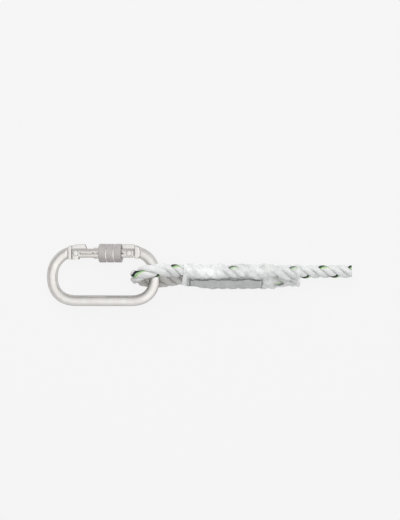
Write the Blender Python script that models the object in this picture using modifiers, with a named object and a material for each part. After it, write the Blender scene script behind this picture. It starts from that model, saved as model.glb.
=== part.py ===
"""Tree climbing lanyard: a three-strand rope, spliced round a steel screw-gate carabiner.

The frame is in metres with +Z up. The origin lies on the floor below the middle of the
lanyard, +X runs along the rope to its cut end and +Y is the side of the carabiner's gate.
Places along the lanyard are measured from the carabiner's far end, and the carabiner has a
frame of its own, whose origin is the bar in the rope's eye.
"""
import math

import bmesh
import bpy
import numpy as np
from mathutils import Matrix, Vector

MM = 0.001

# Whole lanyard
LANYARD_LENGTH = 290.6 * MM
TOUCH_GAP = 0.3 * MM
CUT_OVERRUN = 2.0 * MM

# Carabiner ring
CARABINER_LENGTH = 109.0 * MM
RING_WIDTH = 57.2 * MM
RING_END_LENGTH = 29.1 * MM
BAR_DIAMETER = 10.0 * MM
RING_MIDDLE_Y = -1.5 * MM
EYE_BAR_HEIGHT = 17.8 * MM
RING_END_POINTS = 14
LATCH_FULLNESS = 2.0
HINGE_FULLNESS = 2.2
SPINE_FULLNESS = 2.4
BAR_SIDES_RESOLUTION = 6

# Gate and its axis, which lies a little inside the line of the bar
GATE_DROP = 2.0 * MM
GATE_DIAMETER = 10.2 * MM
HINGE_INSET = 29.2 * MM
LATCH_INSET = 28.4 * MM
GATE_PAST_HINGE = 4.7 * MM
GATE_PAST_LATCH = 3.2 * MM
CHEEK_LENGTH = 5.9 * MM
CHEEK_DEPTH = 5.9 * MM
CHEEK_THICKNESS = 1.5 * MM
GATE_BORE_DIAMETER = 5.2 * MM
GATE_BORE_WALL = 3.3 * MM
TONGUE_THICKNESS = 4.6 * MM
TONGUE_CLEARANCE = 0.4 * MM
NOSE_CLEARANCE = 1.2 * MM
HINGE_SLOT_REACH = 8.6 * MM
SEAM_SLIT_WIDTH = 1.2 * MM
SEAM_GROOVE_WIDTH = 3.2 * MM
SEAM_GROOVE_DEPTH = 0.8 * MM
SEAM_MARGIN = 2.6 * MM
GATE_SIDES = 32

# Rivets through the gate's cheeks
RIVET_DIAMETER = 3.2 * MM
RIVET_HEAD_DIAMETER = 5.0 * MM
RIVET_HEAD_THICKNESS = 0.9 * MM
RIVET_DOME = 0.25 * MM
SPOTFACE_DEPTH = 1.1 * MM
PIN_DIAMETER = 3.5 * MM
RIVET_STEPS = 20

# Lugs of the ring: a pad that carries a thinner tongue into the gate's slot
PAD_GAP = 0.6 * MM
PAD_THICKNESS = 10.3 * MM
PAD_LENGTH = 3.0 * MM
PAD_ROOT = 1.5 * MM
LIP_HEIGHT = 8.5 * MM
PAD_TOP = 7.4 * MM
PAD_ROOT_TOP = 5.7 * MM
SCOOP_DIAMETER = 4.4 * MM
SCOOP_DEPTH = 0.8 * MM
SCOOP_SIDES = 20
PAD_ROUNDING = 0.9 * MM
TONGUE_ROUNDING = 0.4 * MM
HINGE_TONGUE_REACH = 6.9 * MM
HINGE_TONGUE_DEPTH = 4.0 * MM
HINGE_PAD_DEPTH = 5.0 * MM
NOTCH_DIAMETER = 4.6 * MM
NOTCH_CHAMFER = 0.8 * MM
NOSE_DEPTH = 3.6 * MM
NOSE_REACH = 15.8 * MM
LATCH_LIP_REACH = 9.7 * MM
LATCH_LIP_SLANT = 1.3 * MM
LATCH_TONGUE_DEPTH = 5.2 * MM
CORNER = 1.2 * MM
ARC_POINTS = 9

# Locking sleeve, backed off towards the hinge
SLEEVE_DIAMETER = 17.7 * MM
SLEEVE_LENGTH = 21.7 * MM
SLEEVE_FROM_HINGE = 7.3 * MM
SLEEVE_CLEARANCE = 0.3 * MM
SLEEVE_RIBS = 3
SLEEVE_GROOVE_WIDTH = 0.9 * MM
SLEEVE_GROOVE_DEPTH = 0.6 * MM
SLEEVE_CHAMFER = 0.8 * MM
SLEEVE_STEPS = 40

# Gate spring and its plunger
SPRING_WIRE_DIAMETER = 0.6 * MM
SPRING_COIL_DIAMETER = 3.6 * MM
SPRING_TURNS = 9
SPRING_POINTS_PER_TURN = 9
PLUNGER_HEAD_LENGTH = 2.0 * MM
PLUNGER_ROD_DIAMETER = 1.8 * MM
PLUNGER_ROD_LENGTH = 11.0 * MM
PLUNGER_STEPS = 16

# Rope of three laid strands
ROPE_DIAMETER = 12.5 * MM
STRAND_DIAMETER = 5.2 * MM
STRAND_COUNT = 3
LAY_LENGTH = 28.7 * MM
LAY_LENGTH_IN_BEND = 38.0 * MM
STRAND_POINTS_PER_TURN = 9
STRAND_AT_GATE_SIDE = 261.0 * MM
TAIL_TAPER_LENGTH = 33.0 * MM
TAIL_TAPER_SHARE = 0.64
ROUTE_STEP = 1.0 * MM

# Route of the rope's centre line, from past its cut end through the eye to the splice's end.
# Each point is its distance from the carabiner's far end, its side offset and its height.
ROPE_ROUTE = [
    (296.0 * MM, 2.7 * MM, 6.3 * MM),
    (272.0 * MM, 2.7 * MM, 6.5 * MM),
    (255.0 * MM, 2.5 * MM, 8.8 * MM),
    (238.0 * MM, 2.0 * MM, 12.2 * MM),
    (222.0 * MM, 2.2 * MM, 14.4 * MM),
    (205.0 * MM, 2.4 * MM, 15.9 * MM),
    (182.0 * MM, 2.4 * MM, 16.0 * MM),
    (160.0 * MM, 2.4 * MM, 16.2 * MM),
    (144.0 * MM, 2.6 * MM, 17.3 * MM),
    (132.0 * MM, 3.2 * MM, 20.2 * MM),
    (121.0 * MM, 3.8 * MM, 24.9 * MM),
    (111.5 * MM, 4.0 * MM, 29.0 * MM),
    (101.0 * MM, 3.4 * MM, 31.5 * MM),
    (90.2 * MM, 0.8 * MM, 28.2 * MM),
    (85.7 * MM, -2.1 * MM, 19.0 * MM),
    (90.2 * MM, -4.6 * MM, 9.9 * MM),
    (101.0 * MM, -6.3 * MM, 6.4 * MM),
    (112.0 * MM, -6.0 * MM, 6.3 * MM),
    (122.0 * MM, -4.6 * MM, 6.3 * MM),
    (132.0 * MM, -3.7 * MM, 6.3 * MM),
    (142.0 * MM, -5.3 * MM, 6.8 * MM),
    (153.0 * MM, -7.3 * MM, 7.5 * MM),
    (168.0 * MM, -7.5 * MM, 7.6 * MM),
    (184.0 * MM, -7.5 * MM, 7.6 * MM),
    (206.0 * MM, -7.4 * MM, 7.5 * MM),
    (222.0 * MM, -7.1 * MM, 6.5 * MM),
    (238.4 * MM, -6.7 * MM, 5.4 * MM),
]

# Film shrunk over the splice, and the label below it
FILM_START = 130.8 * MM
FILM_END = 241.2 * MM
FILM_THICKNESS = 0.4 * MM
FILM_STATIONS = 18
FILM_SIDES = 28
LABEL_THICKNESS = 0.2 * MM
LABEL_START = 135.1 * MM
LABEL_END = 205.0 * MM
LABEL_TOP_ANGLE = math.radians(72.0)
LABEL_BOTTOM_ANGLE = math.radians(212.0)
LABEL_STATIONS = 12
LABEL_COLUMNS = 10

# Worked out from the sizes above
BAR_RADIUS = BAR_DIAMETER / 2
GATE_RADIUS = GATE_DIAMETER / 2
ROPE_RADIUS = ROPE_DIAMETER / 2
STRAND_RADIUS = STRAND_DIAMETER / 2
BAR_TO_BAR = CARABINER_LENGTH - BAR_DIAMETER
TILT = math.asin((EYE_BAR_HEIGHT - BAR_RADIUS) / BAR_TO_BAR)
EYE_BAR_FROM_END = BAR_RADIUS + BAR_TO_BAR * math.cos(TILT)
GATE_AXIS_Y = RING_WIDTH / 2 - BAR_RADIUS - GATE_DROP
HINGE_X = BAR_RADIUS - HINGE_INSET
LATCH_X = LATCH_INSET - BAR_RADIUS - BAR_TO_BAR
SPACING = HINGE_X - LATCH_X
SLOT_WIDTH = TONGUE_THICKNESS + 2 * TONGUE_CLEARANCE
NOSE_SLOT_END = LATCH_X + NOSE_REACH + NOSE_CLEARANCE - HINGE_X
SPRING_SEAT = NOSE_SLOT_END + GATE_BORE_WALL
PLUNGER_FACE = -(HINGE_TONGUE_REACH + TOUCH_GAP)


def make_material(name, colour, metallic, roughness, alpha=1.0):
    """A plain Principled material for one sub-part."""
    material = bpy.data.materials.new(name)
    material.use_nodes = True
    shader = material.node_tree.nodes["Principled BSDF"]
    shader.inputs["Base Color"].default_value = (*colour, 1.0)
    shader.inputs["Metallic"].default_value = metallic
    shader.inputs["Roughness"].default_value = roughness
    shader.inputs["Alpha"].default_value = alpha
    return material


def clear_scene():
    for old in list(bpy.data.objects):
        bpy.data.objects.remove(old, do_unlink=True)


def make_collection(name):
    collection = bpy.data.collections.new(name)
    bpy.context.scene.collection.children.link(collection)
    return collection


def make_empty(name, collection, location, parent=None, turn_y=0.0):
    empty = bpy.data.objects.new(name, None)
    empty.location = location
    empty.rotation_euler = (0.0, turn_y, 0.0)
    empty.parent = parent
    collection.objects.link(empty)
    return empty


def place(name, mesh, collection, parent=None, location=(0.0, 0.0, 0.0), turn=(0.0, 0.0, 0.0)):
    """Links a mesh or curve as a named object in its parent's frame."""
    made = bpy.data.objects.new(name, mesh)
    made.location = location
    made.rotation_euler = turn
    made.parent = parent
    collection.objects.link(made)
    return made


def finish(made, material, sharp_angle=40.0):
    """Gives a sub-part its material and smooth shading with sharp edges."""
    made.data.materials.clear()
    made.data.materials.append(material)
    made.data.shade_smooth()
    made.data.set_sharp_from_angle(angle=math.radians(sharp_angle))


def apply_boolean(target, other, operation):
    """Joins another object to the target, or cuts it away, and keeps it as a hidden guide."""
    other.hide_render = True
    other.display_type = "WIRE"
    modifier = target.modifiers.new(other.name, "BOOLEAN")
    modifier.operation = operation
    modifier.solver = "EXACT"
    modifier.object = other


def mesh_from_bmesh(name, shape):
    bmesh.ops.recalc_face_normals(shape, faces=shape.faces)
    mesh = bpy.data.meshes.new(name)
    shape.to_mesh(mesh)
    shape.free()
    return mesh


def cylinder_mesh(name, radius, length, sides):
    """A cylinder about X, centred on the origin."""
    shape = bmesh.new()
    bmesh.ops.create_cone(shape, cap_ends=True, segments=sides, radius1=radius,
                          radius2=radius, depth=length)
    turn = Vector((0, 0, 1)).rotation_difference(Vector((1, 0, 0))).to_matrix()
    bmesh.ops.rotate(shape, verts=shape.verts, cent=(0, 0, 0), matrix=turn)
    return mesh_from_bmesh(name, shape)


def box_mesh(name, low, high):
    """A box between two corners."""
    shape = bmesh.new()
    bmesh.ops.create_cube(shape, size=1.0)
    size = [b - a for a, b in zip(low, high)]
    middle = [(a + b) / 2 for a, b in zip(low, high)]
    bmesh.ops.scale(shape, vec=size, verts=shape.verts)
    bmesh.ops.translate(shape, vec=middle, verts=shape.verts)
    return mesh_from_bmesh(name, shape)


def plate_mesh(name, outline, low_z, high_z):
    """A flat plate: an outline in X and Y, pushed up from one height to another."""
    shape = bmesh.new()
    face = shape.faces.new([shape.verts.new((x, y, low_z)) for x, y in outline])
    pushed = bmesh.ops.extrude_face_region(shape, geom=[face])
    moved = [item for item in pushed["geom"] if isinstance(item, bmesh.types.BMVert)]
    bmesh.ops.translate(shape, vec=(0, 0, high_z - low_z), verts=moved)
    return mesh_from_bmesh(name, shape)


def turned_object(name, profile, steps, collection, parent, location, axis_x=False):
    """A turned solid: its profile holds radius and height, with its axis along Z or X."""
    mesh = bpy.data.meshes.new(name)
    points = [(radius, 0, height) for radius, height in profile]
    count = len(points)
    closed = profile[0][0] > 0
    edges = [(i, i + 1) for i in range(count - 1)] + ([(count - 1, 0)] if closed else [])
    mesh.from_pydata(points, edges, [])
    turn = (0, math.pi / 2, 0) if axis_x else (0, 0, 0)
    made = place(name, mesh, collection, parent, location, turn)
    screw = made.modifiers.new("turned", "SCREW")
    screw.steps = steps
    screw.render_steps = steps
    screw.use_merge_vertices = True
    screw.merge_threshold = TOUCH_GAP / 100
    return made


def mesh_from_curve(curve_object):
    """Turns a bevelled curve into a closed mesh object with the same name and place."""
    bpy.context.view_layer.update()
    graph = bpy.context.evaluated_depsgraph_get()
    mesh = bpy.data.meshes.new_from_object(curve_object.evaluated_get(graph))
    shape = bmesh.new()
    shape.from_mesh(mesh)
    bmesh.ops.remove_doubles(shape, verts=shape.verts, dist=TOUCH_GAP / 100)
    bmesh.ops.recalc_face_normals(shape, faces=shape.faces)
    shape.to_mesh(mesh)
    shape.free()
    name = curve_object.name
    collection = curve_object.users_collection[0]
    parent = curve_object.parent
    location = curve_object.location.copy()
    bpy.data.objects.remove(curve_object, do_unlink=True)
    return place(name, mesh, collection, parent, location)


def tube_curve(name, points, radius, resolution, radius_shares=None):
    """A poly curve through the points, bevelled to a round tube with closed ends."""
    curve = bpy.data.curves.new(name, "CURVE")
    curve.dimensions = "3D"
    curve.bevel_depth = radius
    curve.bevel_resolution = resolution
    curve.use_fill_caps = True
    spline = curve.splines.new("POLY")
    spline.points.add(len(points) - 1)
    for index, point in enumerate(points):
        spline.points[index].co = (*point, 1.0)
        spline.points[index].radius = radius_shares[index] if radius_shares else 1.0
    return curve


def oval_point(turn, half_length, half_width, fullness):
    """A point of an oval that is an ellipse at fullness 2 and has fuller corners above it."""
    across, up = math.cos(turn), math.sin(turn)
    x = math.copysign(abs(across) ** (2 / fullness), across) * half_length
    y = math.copysign(abs(up) ** (2 / fullness), up) * half_width
    return x, y


def ring_points():
    """The bar's centre line, from inside the latch pad round the spine to the hinge pad."""
    half_length = RING_END_LENGTH - BAR_RADIUS
    half_width = RING_WIDTH / 2 - BAR_RADIUS
    far_x = half_length - BAR_TO_BAR
    near_x = -half_length
    latch_root = LATCH_X - GATE_PAST_LATCH - PAD_GAP - PAD_LENGTH
    hinge_root = HINGE_X + GATE_PAST_HINGE + PAD_GAP + PAD_LENGTH
    latch_turn = math.acos((latch_root + PAD_ROOT - far_x) / half_length)
    hinge_share = ((hinge_root - PAD_ROOT - near_x) / half_length) ** (HINGE_FULLNESS / 2)
    hinge_turn = math.acos(hinge_share)
    points = []
    for step in range(RING_END_POINTS + 1):
        turn = latch_turn + (1.5 * math.pi - latch_turn) * step / RING_END_POINTS
        fullness = LATCH_FULLNESS if turn < math.pi else SPINE_FULLNESS
        x, y = oval_point(turn, half_length, half_width, fullness)
        points.append((far_x + x, y, 0))
    for step in range(RING_END_POINTS + 1):
        turn = -math.pi / 2 + (hinge_turn + math.pi / 2) * step / RING_END_POINTS
        fullness = HINGE_FULLNESS if turn > 0 else SPINE_FULLNESS
        x, y = oval_point(turn, half_length, half_width, fullness)
        points.append((near_x + x, y, 0))
    return points


def half_circle(centre_x, centre_y, radius, start, stop):
    """Points of an arc, both ends included."""
    turns = [start + (stop - start) * step / (ARC_POINTS - 1) for step in range(ARC_POINTS)]
    return [(centre_x + radius * math.cos(t), centre_y + radius * math.sin(t)) for t in turns]


def round_edges(made, width, segments):
    """Rounds the sharp edges of a guide before it is joined."""
    bevel = made.modifiers.new("rounded", "BEVEL")
    bevel.width = width
    bevel.segments = segments
    bevel.limit_method = "ANGLE"
    bevel.angle_limit = math.radians(35.0)


def make_lug_pad(name, side, rivet_x, inner, cutters, frame, depth):
    """The thick pad where the bar meets a lug. Side is 1 at the hinge and -1 at the latch."""
    near = rivet_x + side * inner
    middle = near + side * PAD_LENGTH
    far = middle + side * PAD_ROOT
    outline = [
        (near, GATE_AXIS_Y - depth),
        (far, GATE_AXIS_Y - depth + PAD_ROOT / 2),
        (far, GATE_AXIS_Y + PAD_ROOT_TOP),
        (middle, GATE_AXIS_Y + (PAD_TOP + PAD_ROOT_TOP) / 2),
        (near, GATE_AXIS_Y + PAD_TOP),
    ]
    mesh = plate_mesh(name, outline, -PAD_THICKNESS / 2, PAD_THICKNESS / 2)
    pad = place(name, mesh, cutters, frame)
    round_edges(pad, PAD_ROUNDING, 2)
    return pad


def make_carabiner_body(parts, cutters, frame, steel):
    """Round bar bent to a ring, with a hinge lug and a hooked latch lug."""
    bar = tube_curve("carabiner_body", ring_points(), BAR_RADIUS, BAR_SIDES_RESOLUTION)
    body = mesh_from_curve(place("carabiner_body", bar, parts, frame))

    hinge_inner = GATE_PAST_HINGE + PAD_GAP
    latch_inner = GATE_PAST_LATCH + PAD_GAP
    hinge_pad = make_lug_pad("hinge_pad", 1, HINGE_X, hinge_inner, cutters, frame,
                             HINGE_PAD_DEPTH)
    latch_pad = make_lug_pad("latch_pad", -1, LATCH_X, latch_inner, cutters, frame,
                             CHEEK_DEPTH)
    apply_boolean(body, hinge_pad, "UNION")
    apply_boolean(body, latch_pad, "UNION")

    half_tongue = TONGUE_THICKNESS / 2
    pad_overlap = hinge_inner + PAD_LENGTH / 2
    hinge_outline = [
        (HINGE_X - HINGE_TONGUE_REACH, GATE_AXIS_Y - HINGE_TONGUE_DEPTH),
        (HINGE_X + pad_overlap, GATE_AXIS_Y - HINGE_TONGUE_DEPTH),
        (HINGE_X + pad_overlap, GATE_AXIS_Y + (PAD_TOP + PAD_ROOT_TOP) / 2),
        (HINGE_X + GATE_PAST_HINGE - CORNER, GATE_AXIS_Y + LIP_HEIGHT),
        (HINGE_X - HINGE_TONGUE_REACH + CORNER / 2, GATE_AXIS_Y + LIP_HEIGHT),
        (HINGE_X - HINGE_TONGUE_REACH, GATE_AXIS_Y + LIP_HEIGHT - CORNER / 2),
    ]
    hinge_tongue = place("hinge_tongue",
                         plate_mesh("hinge_tongue", hinge_outline, -half_tongue, half_tongue),
                         cutters, frame)
    round_edges(hinge_tongue, TONGUE_ROUNDING, 1)
    apply_boolean(body, hinge_tongue, "UNION")
    hole_radius = RIVET_DIAMETER / 2 + TOUCH_GAP
    hole = place("hinge_hole", cylinder_mesh("hinge_hole", hole_radius,
                                             PAD_THICKNESS + 2 * CUT_OVERRUN, RIVET_STEPS),
                 cutters, frame, (HINGE_X, GATE_AXIS_Y, 0), (0, math.pi / 2, 0))
    apply_boolean(body, hole, "DIFFERENCE")

    apply_boolean(body, make_latch_tongue(cutters, frame), "UNION")
    for side, pad_middle in ((1, HINGE_X + hinge_inner + PAD_LENGTH),
                             (-1, LATCH_X - latch_inner - PAD_LENGTH)):
        for face in (1, -1):
            name = f"scoop_{'hinge' if side > 0 else 'latch'}_{'top' if face > 0 else 'bottom'}"
            radius = SCOOP_DIAMETER / 2
            centre_x = pad_middle + side * (radius - SCOOP_DEPTH / 2)
            centre_z = face * (BAR_RADIUS - SCOOP_DEPTH + radius)
            scoop = place(name, cylinder_mesh(name, radius, 2 * RING_END_LENGTH, SCOOP_SIDES),
                          cutters, frame, (centre_x, GATE_AXIS_Y, centre_z),
                          (0, 0, math.pi / 2))
            apply_boolean(body, scoop, "DIFFERENCE")
    finish(body, steel)
    return body


def make_latch_tongue(cutters, frame):
    """The nose: a lip, a notch that catches the pin, and a tooth inside the gate's slot."""
    inner = GATE_PAST_LATCH + PAD_GAP
    notch = NOTCH_DIAMETER / 2
    local = [
        (-inner - PAD_LENGTH / 2, -LATCH_TONGUE_DEPTH),
        (-notch - NOTCH_CHAMFER, -LATCH_TONGUE_DEPTH),
        (-notch, -LATCH_TONGUE_DEPTH + NOTCH_CHAMFER),
    ]
    local += half_circle(0, 0, notch, math.pi, 0)
    local += [
        (notch, -NOSE_DEPTH + NOTCH_CHAMFER),
        (notch + NOTCH_CHAMFER, -NOSE_DEPTH),
        (NOSE_REACH - CORNER, -NOSE_DEPTH),
        (NOSE_REACH, -NOSE_DEPTH + CORNER),
        (NOSE_REACH, NOSE_DEPTH - CORNER),
        (NOSE_REACH - CORNER, NOSE_DEPTH),
        (LATCH_LIP_REACH, NOSE_DEPTH),
        (LATCH_LIP_REACH, GATE_RADIUS),
        (LATCH_LIP_REACH - LATCH_LIP_SLANT, LIP_HEIGHT),
        (-inner + PAD_LENGTH, LIP_HEIGHT),
        (-inner, PAD_TOP),
        (-inner - PAD_LENGTH / 2, PAD_TOP - CORNER),
    ]
    outline = [(LATCH_X + x, GATE_AXIS_Y + y) for x, y in local]
    half_tongue = TONGUE_THICKNESS / 2
    mesh = plate_mesh("latch_tongue", outline, -half_tongue, half_tongue)
    tongue = place("latch_tongue", mesh, cutters, frame)
    round_edges(tongue, TONGUE_ROUNDING, 1)
    return tongue


def make_gate(parts, cutters, gate_frame, steel):
    """The gate in its own frame: the hinge axis is the origin and the latch lies at -X."""
    left = -SPACING - GATE_PAST_LATCH
    right = GATE_PAST_HINGE
    blank = cylinder_mesh("gate", GATE_RADIUS, right - left, GATE_SIDES)
    blank.transform(Matrix.Translation(((left + right) / 2, 0, 0)))
    gate = place("gate", blank, parts, gate_frame)

    half_slot = SLOT_WIDTH / 2
    cheek_side = half_slot + CHEEK_THICKNESS
    cheek = place("latch_cheek", box_mesh("latch_cheek", (left, -CHEEK_DEPTH, -cheek_side),
                                          (left + CHEEK_LENGTH, 0, cheek_side)),
                  cutters, gate_frame)
    apply_boolean(gate, cheek, "UNION")

    reach = CHEEK_DEPTH + CUT_OVERRUN
    latch_slot = box_mesh("latch_slot", (left - CUT_OVERRUN, -reach, -half_slot),
                          (NOSE_SLOT_END, reach, half_slot))
    hinge_slot = box_mesh("hinge_slot", (-HINGE_SLOT_REACH, -reach, -half_slot),
                          (right + CUT_OVERRUN, reach, half_slot))
    bore_end = -HINGE_SLOT_REACH + CUT_OVERRUN
    bore = cylinder_mesh("gate_bore", GATE_BORE_DIAMETER / 2, bore_end - SPRING_SEAT, GATE_SIDES)
    bore.transform(Matrix.Translation(((bore_end + SPRING_SEAT) / 2, 0, 0)))
    for name, mesh in (("latch_slot", latch_slot), ("hinge_slot", hinge_slot),
                       ("gate_bore", bore)):
        apply_boolean(gate, place(name, mesh, cutters, gate_frame), "DIFFERENCE")

    corner = [(right * math.sin(turn), -GATE_RADIUS * math.cos(turn))
              for turn in (math.pi / 2 * step / ARC_POINTS for step in range(ARC_POINTS + 1))]
    corner += [(right + CUT_OVERRUN, 0), (right + CUT_OVERRUN, -reach), (0, -reach)]
    rounding = place("hinge_end_rounding", plate_mesh("hinge_end_rounding", corner,
                                                      -PAD_THICKNESS, PAD_THICKNESS),
                     cutters, gate_frame)
    apply_boolean(gate, rounding, "DIFFERENCE")

    for name, at_x, diameter in (("hinge", 0, RIVET_DIAMETER), ("latch", -SPACING, PIN_DIAMETER)):
        hole = cylinder_mesh(name + "_rivet_hole", diameter / 2 + TOUCH_GAP,
                             2 * (GATE_DIAMETER + CUT_OVERRUN), RIVET_STEPS)
        apply_boolean(gate, place(name + "_rivet_hole", hole, cutters, gate_frame,
                                  (at_x, 0, 0), (0, math.pi / 2, 0)), "DIFFERENCE")
        for face in (1, -1):
            spot_name = f"{name}_spotface_{'top' if face > 0 else 'bottom'}"
            depth = SPOTFACE_DEPTH + CUT_OVERRUN
            spot = cylinder_mesh(spot_name, RIVET_HEAD_DIAMETER / 2 + TOUCH_GAP, depth,
                                 GATE_SIDES)
            centre = face * (GATE_RADIUS - SPOTFACE_DEPTH + depth / 2)
            apply_boolean(gate, place(spot_name, spot, cutters, gate_frame,
                                      (at_x, 0, centre), (0, math.pi / 2, 0)), "DIFFERENCE")

    apply_boolean(gate, make_seam(cutters, gate_frame), "DIFFERENCE")
    finish(gate, steel)
    return gate


def make_seam(cutters, gate_frame):
    """The open seam along the gate's face: a slit below a shallow V-shaped groove."""
    start = -SPACING + RIVET_HEAD_DIAMETER / 2 + TOUCH_GAP + SEAM_MARGIN / 2
    stop = -RIVET_HEAD_DIAMETER / 2 - TOUCH_GAP - SEAM_MARGIN / 2
    slit = SEAM_SLIT_WIDTH / 2
    groove = SEAM_GROOVE_WIDTH / 2
    shoulder = GATE_RADIUS - SEAM_GROOVE_DEPTH
    floor = SLOT_WIDTH / 4
    top = GATE_RADIUS + CUT_OVERRUN
    section = [(-slit, floor), (slit, floor), (slit, shoulder), (groove, GATE_RADIUS),
               (groove, top), (-groove, top), (-groove, GATE_RADIUS), (-slit, shoulder)]
    shape = bmesh.new()
    face = shape.faces.new([shape.verts.new((start, y, z)) for y, z in section])
    pushed = bmesh.ops.extrude_face_region(shape, geom=[face])
    moved = [item for item in pushed["geom"] if isinstance(item, bmesh.types.BMVert)]
    bmesh.ops.translate(shape, vec=(stop - start, 0, 0), verts=moved)
    return place("gate_seam", mesh_from_bmesh("gate_seam", shape), cutters, gate_frame)


def make_rivet(name, diameter, at_x, parts, gate_frame, steel):
    """A headed rivet across the gate, its domed heads in the gate's spotfaces."""
    seat = GATE_RADIUS - SPOTFACE_DEPTH + TOUCH_GAP
    top = seat + RIVET_HEAD_THICKNESS
    head = RIVET_HEAD_DIAMETER / 2
    shank = diameter / 2
    profile = [
        (0, top), (head / 2, top - RIVET_DOME / 4), (head, top - RIVET_DOME), (head, seat),
        (shank, seat), (shank, -seat), (head, -seat), (head, -top + RIVET_DOME),
        (head / 2, -top + RIVET_DOME / 4), (0, -top),
    ]
    rivet = turned_object(name, profile, RIVET_STEPS, parts, gate_frame, (at_x, 0, 0))
    finish(rivet, steel)
    return rivet


def make_sleeve(parts, gate_frame, steel):
    """The ribbed locking sleeve, turned about the gate's axis."""
    outer = SLEEVE_DIAMETER / 2
    inner = GATE_RADIUS + SLEEVE_CLEARANCE
    groove = outer - SLEEVE_GROOVE_DEPTH
    half_groove = SLEEVE_GROOVE_WIDTH / 2
    half = SLEEVE_LENGTH / 2
    profile = [(outer - SLEEVE_CHAMFER, half), (outer, half - SLEEVE_CHAMFER / 2)]
    for rib in range(1, SLEEVE_RIBS):
        middle = half - SLEEVE_LENGTH * rib / SLEEVE_RIBS
        profile += [(outer, middle + half_groove), (groove, middle + half_groove / 2),
                    (groove, middle - half_groove / 2), (outer, middle - half_groove)]
    profile += [(outer, -half + SLEEVE_CHAMFER), (outer - SLEEVE_CHAMFER, -half),
                (inner + SLEEVE_CHAMFER / 2, -half), (inner, -half + SLEEVE_CHAMFER / 2),
                (inner, half - SLEEVE_CHAMFER / 2), (inner + SLEEVE_CHAMFER / 2, half)]
    centre = -SLEEVE_FROM_HINGE - half
    sleeve = turned_object("locking_sleeve", profile, SLEEVE_STEPS, parts, gate_frame,
                           (centre, 0, 0), axis_x=True)
    finish(sleeve, steel)
    return sleeve


def make_plunger(parts, gate_frame, steel):
    """The plunger: a flat head against the hinge lug and a rod inside the spring."""
    head = GATE_BORE_DIAMETER / 2 - TOUCH_GAP
    rod = PLUNGER_ROD_DIAMETER / 2
    edge = TOUCH_GAP
    profile = [(0, 0), (head - edge, 0), (head, -edge), (head, -PLUNGER_HEAD_LENGTH),
               (rod, -PLUNGER_HEAD_LENGTH), (rod, edge - PLUNGER_HEAD_LENGTH - PLUNGER_ROD_LENGTH),
               (rod - edge, -PLUNGER_HEAD_LENGTH - PLUNGER_ROD_LENGTH),
               (0, -PLUNGER_HEAD_LENGTH - PLUNGER_ROD_LENGTH)]
    plunger = turned_object("spring_plunger", profile, PLUNGER_STEPS, parts, gate_frame,
                            (PLUNGER_FACE, 0, 0), axis_x=True)
    finish(plunger, steel)
    return plunger


def spring_points():
    """The spring's wire: straight ends one wire long, and a helix about the gate's axis."""
    radius = SPRING_COIL_DIAMETER / 2
    start = SPRING_SEAT + TOUCH_GAP
    stop = PLUNGER_FACE - PLUNGER_HEAD_LENGTH - TOUCH_GAP
    coil_start = start + SPRING_WIRE_DIAMETER
    coil_stop = stop - SPRING_WIRE_DIAMETER
    count = SPRING_TURNS * SPRING_POINTS_PER_TURN
    points = [(start, radius, 0)]
    for step in range(count + 1):
        turn = 2 * math.pi * step / SPRING_POINTS_PER_TURN
        along = coil_start + (coil_stop - coil_start) * step / count
        points.append((along, radius * math.cos(turn), radius * math.sin(turn)))
    points.append((stop, radius, 0))
    return points


def least_gap_to_itself(points, diameter, skip):
    """Least clear distance between parts of one tube that lie further apart along it."""
    line = np.array(points, dtype=float)
    gaps = np.linalg.norm(line[:, None, :] - line[None, :, :], axis=2)
    index = np.arange(len(line))
    apart = np.abs(index[:, None] - index[None, :]) >= skip
    return float(gaps[apart].min()) - diameter


def make_spring(parts, gate_frame, steel):
    points = spring_points()
    gap = least_gap_to_itself(points, SPRING_WIRE_DIAMETER, SPRING_POINTS_PER_TURN // 2)
    print(f"gate_spring: least gap to itself {gap / MM:.2f} mm")
    curve = tube_curve("gate_spring", points, SPRING_WIRE_DIAMETER / 2, 1)
    spring = mesh_from_curve(place("gate_spring", curve, parts, gate_frame))
    finish(spring, steel, 60.0)
    return spring


def world_point(point):
    """Moves a point measured from the carabiner's far end into the lanyard's frame."""
    along, side, height = point
    return (along - LANYARD_LENGTH / 2, side, height)


def smooth_route():
    """Points at even steps along a centripetal Catmull-Rom curve through the route."""
    route = [np.array(world_point(point)) for point in ROPE_ROUTE]
    padded = [2 * route[0] - route[1]] + route + [2 * route[-1] - route[-2]]
    dense = []
    for index in range(1, len(padded) - 2):
        four = padded[index - 1:index + 3]
        knots = [0.0]
        for first, second in zip(four, four[1:]):
            knots.append(knots[-1] + math.sqrt(np.linalg.norm(second - first)))
        count = 2 + int(np.linalg.norm(four[2] - four[1]) / ROUTE_STEP) * 4
        for share in np.linspace(0, 1, count, endpoint=False):
            dense.append(_catmull(four, knots, knots[1] + share * (knots[2] - knots[1])))
    dense.append(padded[-2])
    dense = np.array(dense)
    lengths = np.concatenate([[0], np.cumsum(np.linalg.norm(np.diff(dense, axis=0), axis=1))])
    count = int(round(lengths[-1] / ROUTE_STEP)) + 1
    even = np.linspace(0, lengths[-1], count)
    points = np.stack([np.interp(even, lengths, dense[:, axis]) for axis in range(3)], axis=1)
    return even, points


def _catmull(four, knots, at):
    """One point of a Catmull-Rom piece with the given knots."""
    layer = list(four)
    spans = [(0, 1), (1, 2), (2, 3)]
    first = [((knots[b] - at) * layer[a] + (at - knots[a]) * layer[b]) / (knots[b] - knots[a])
             for a, b in spans]
    second = [((knots[b] - at) * first[a] + (at - knots[a]) * first[a + 1]) /
              (knots[b] - knots[a]) for a, b in ((0, 2), (1, 3))]
    return ((knots[2] - at) * second[0] + (at - knots[1]) * second[1]) / (knots[2] - knots[1])


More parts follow.
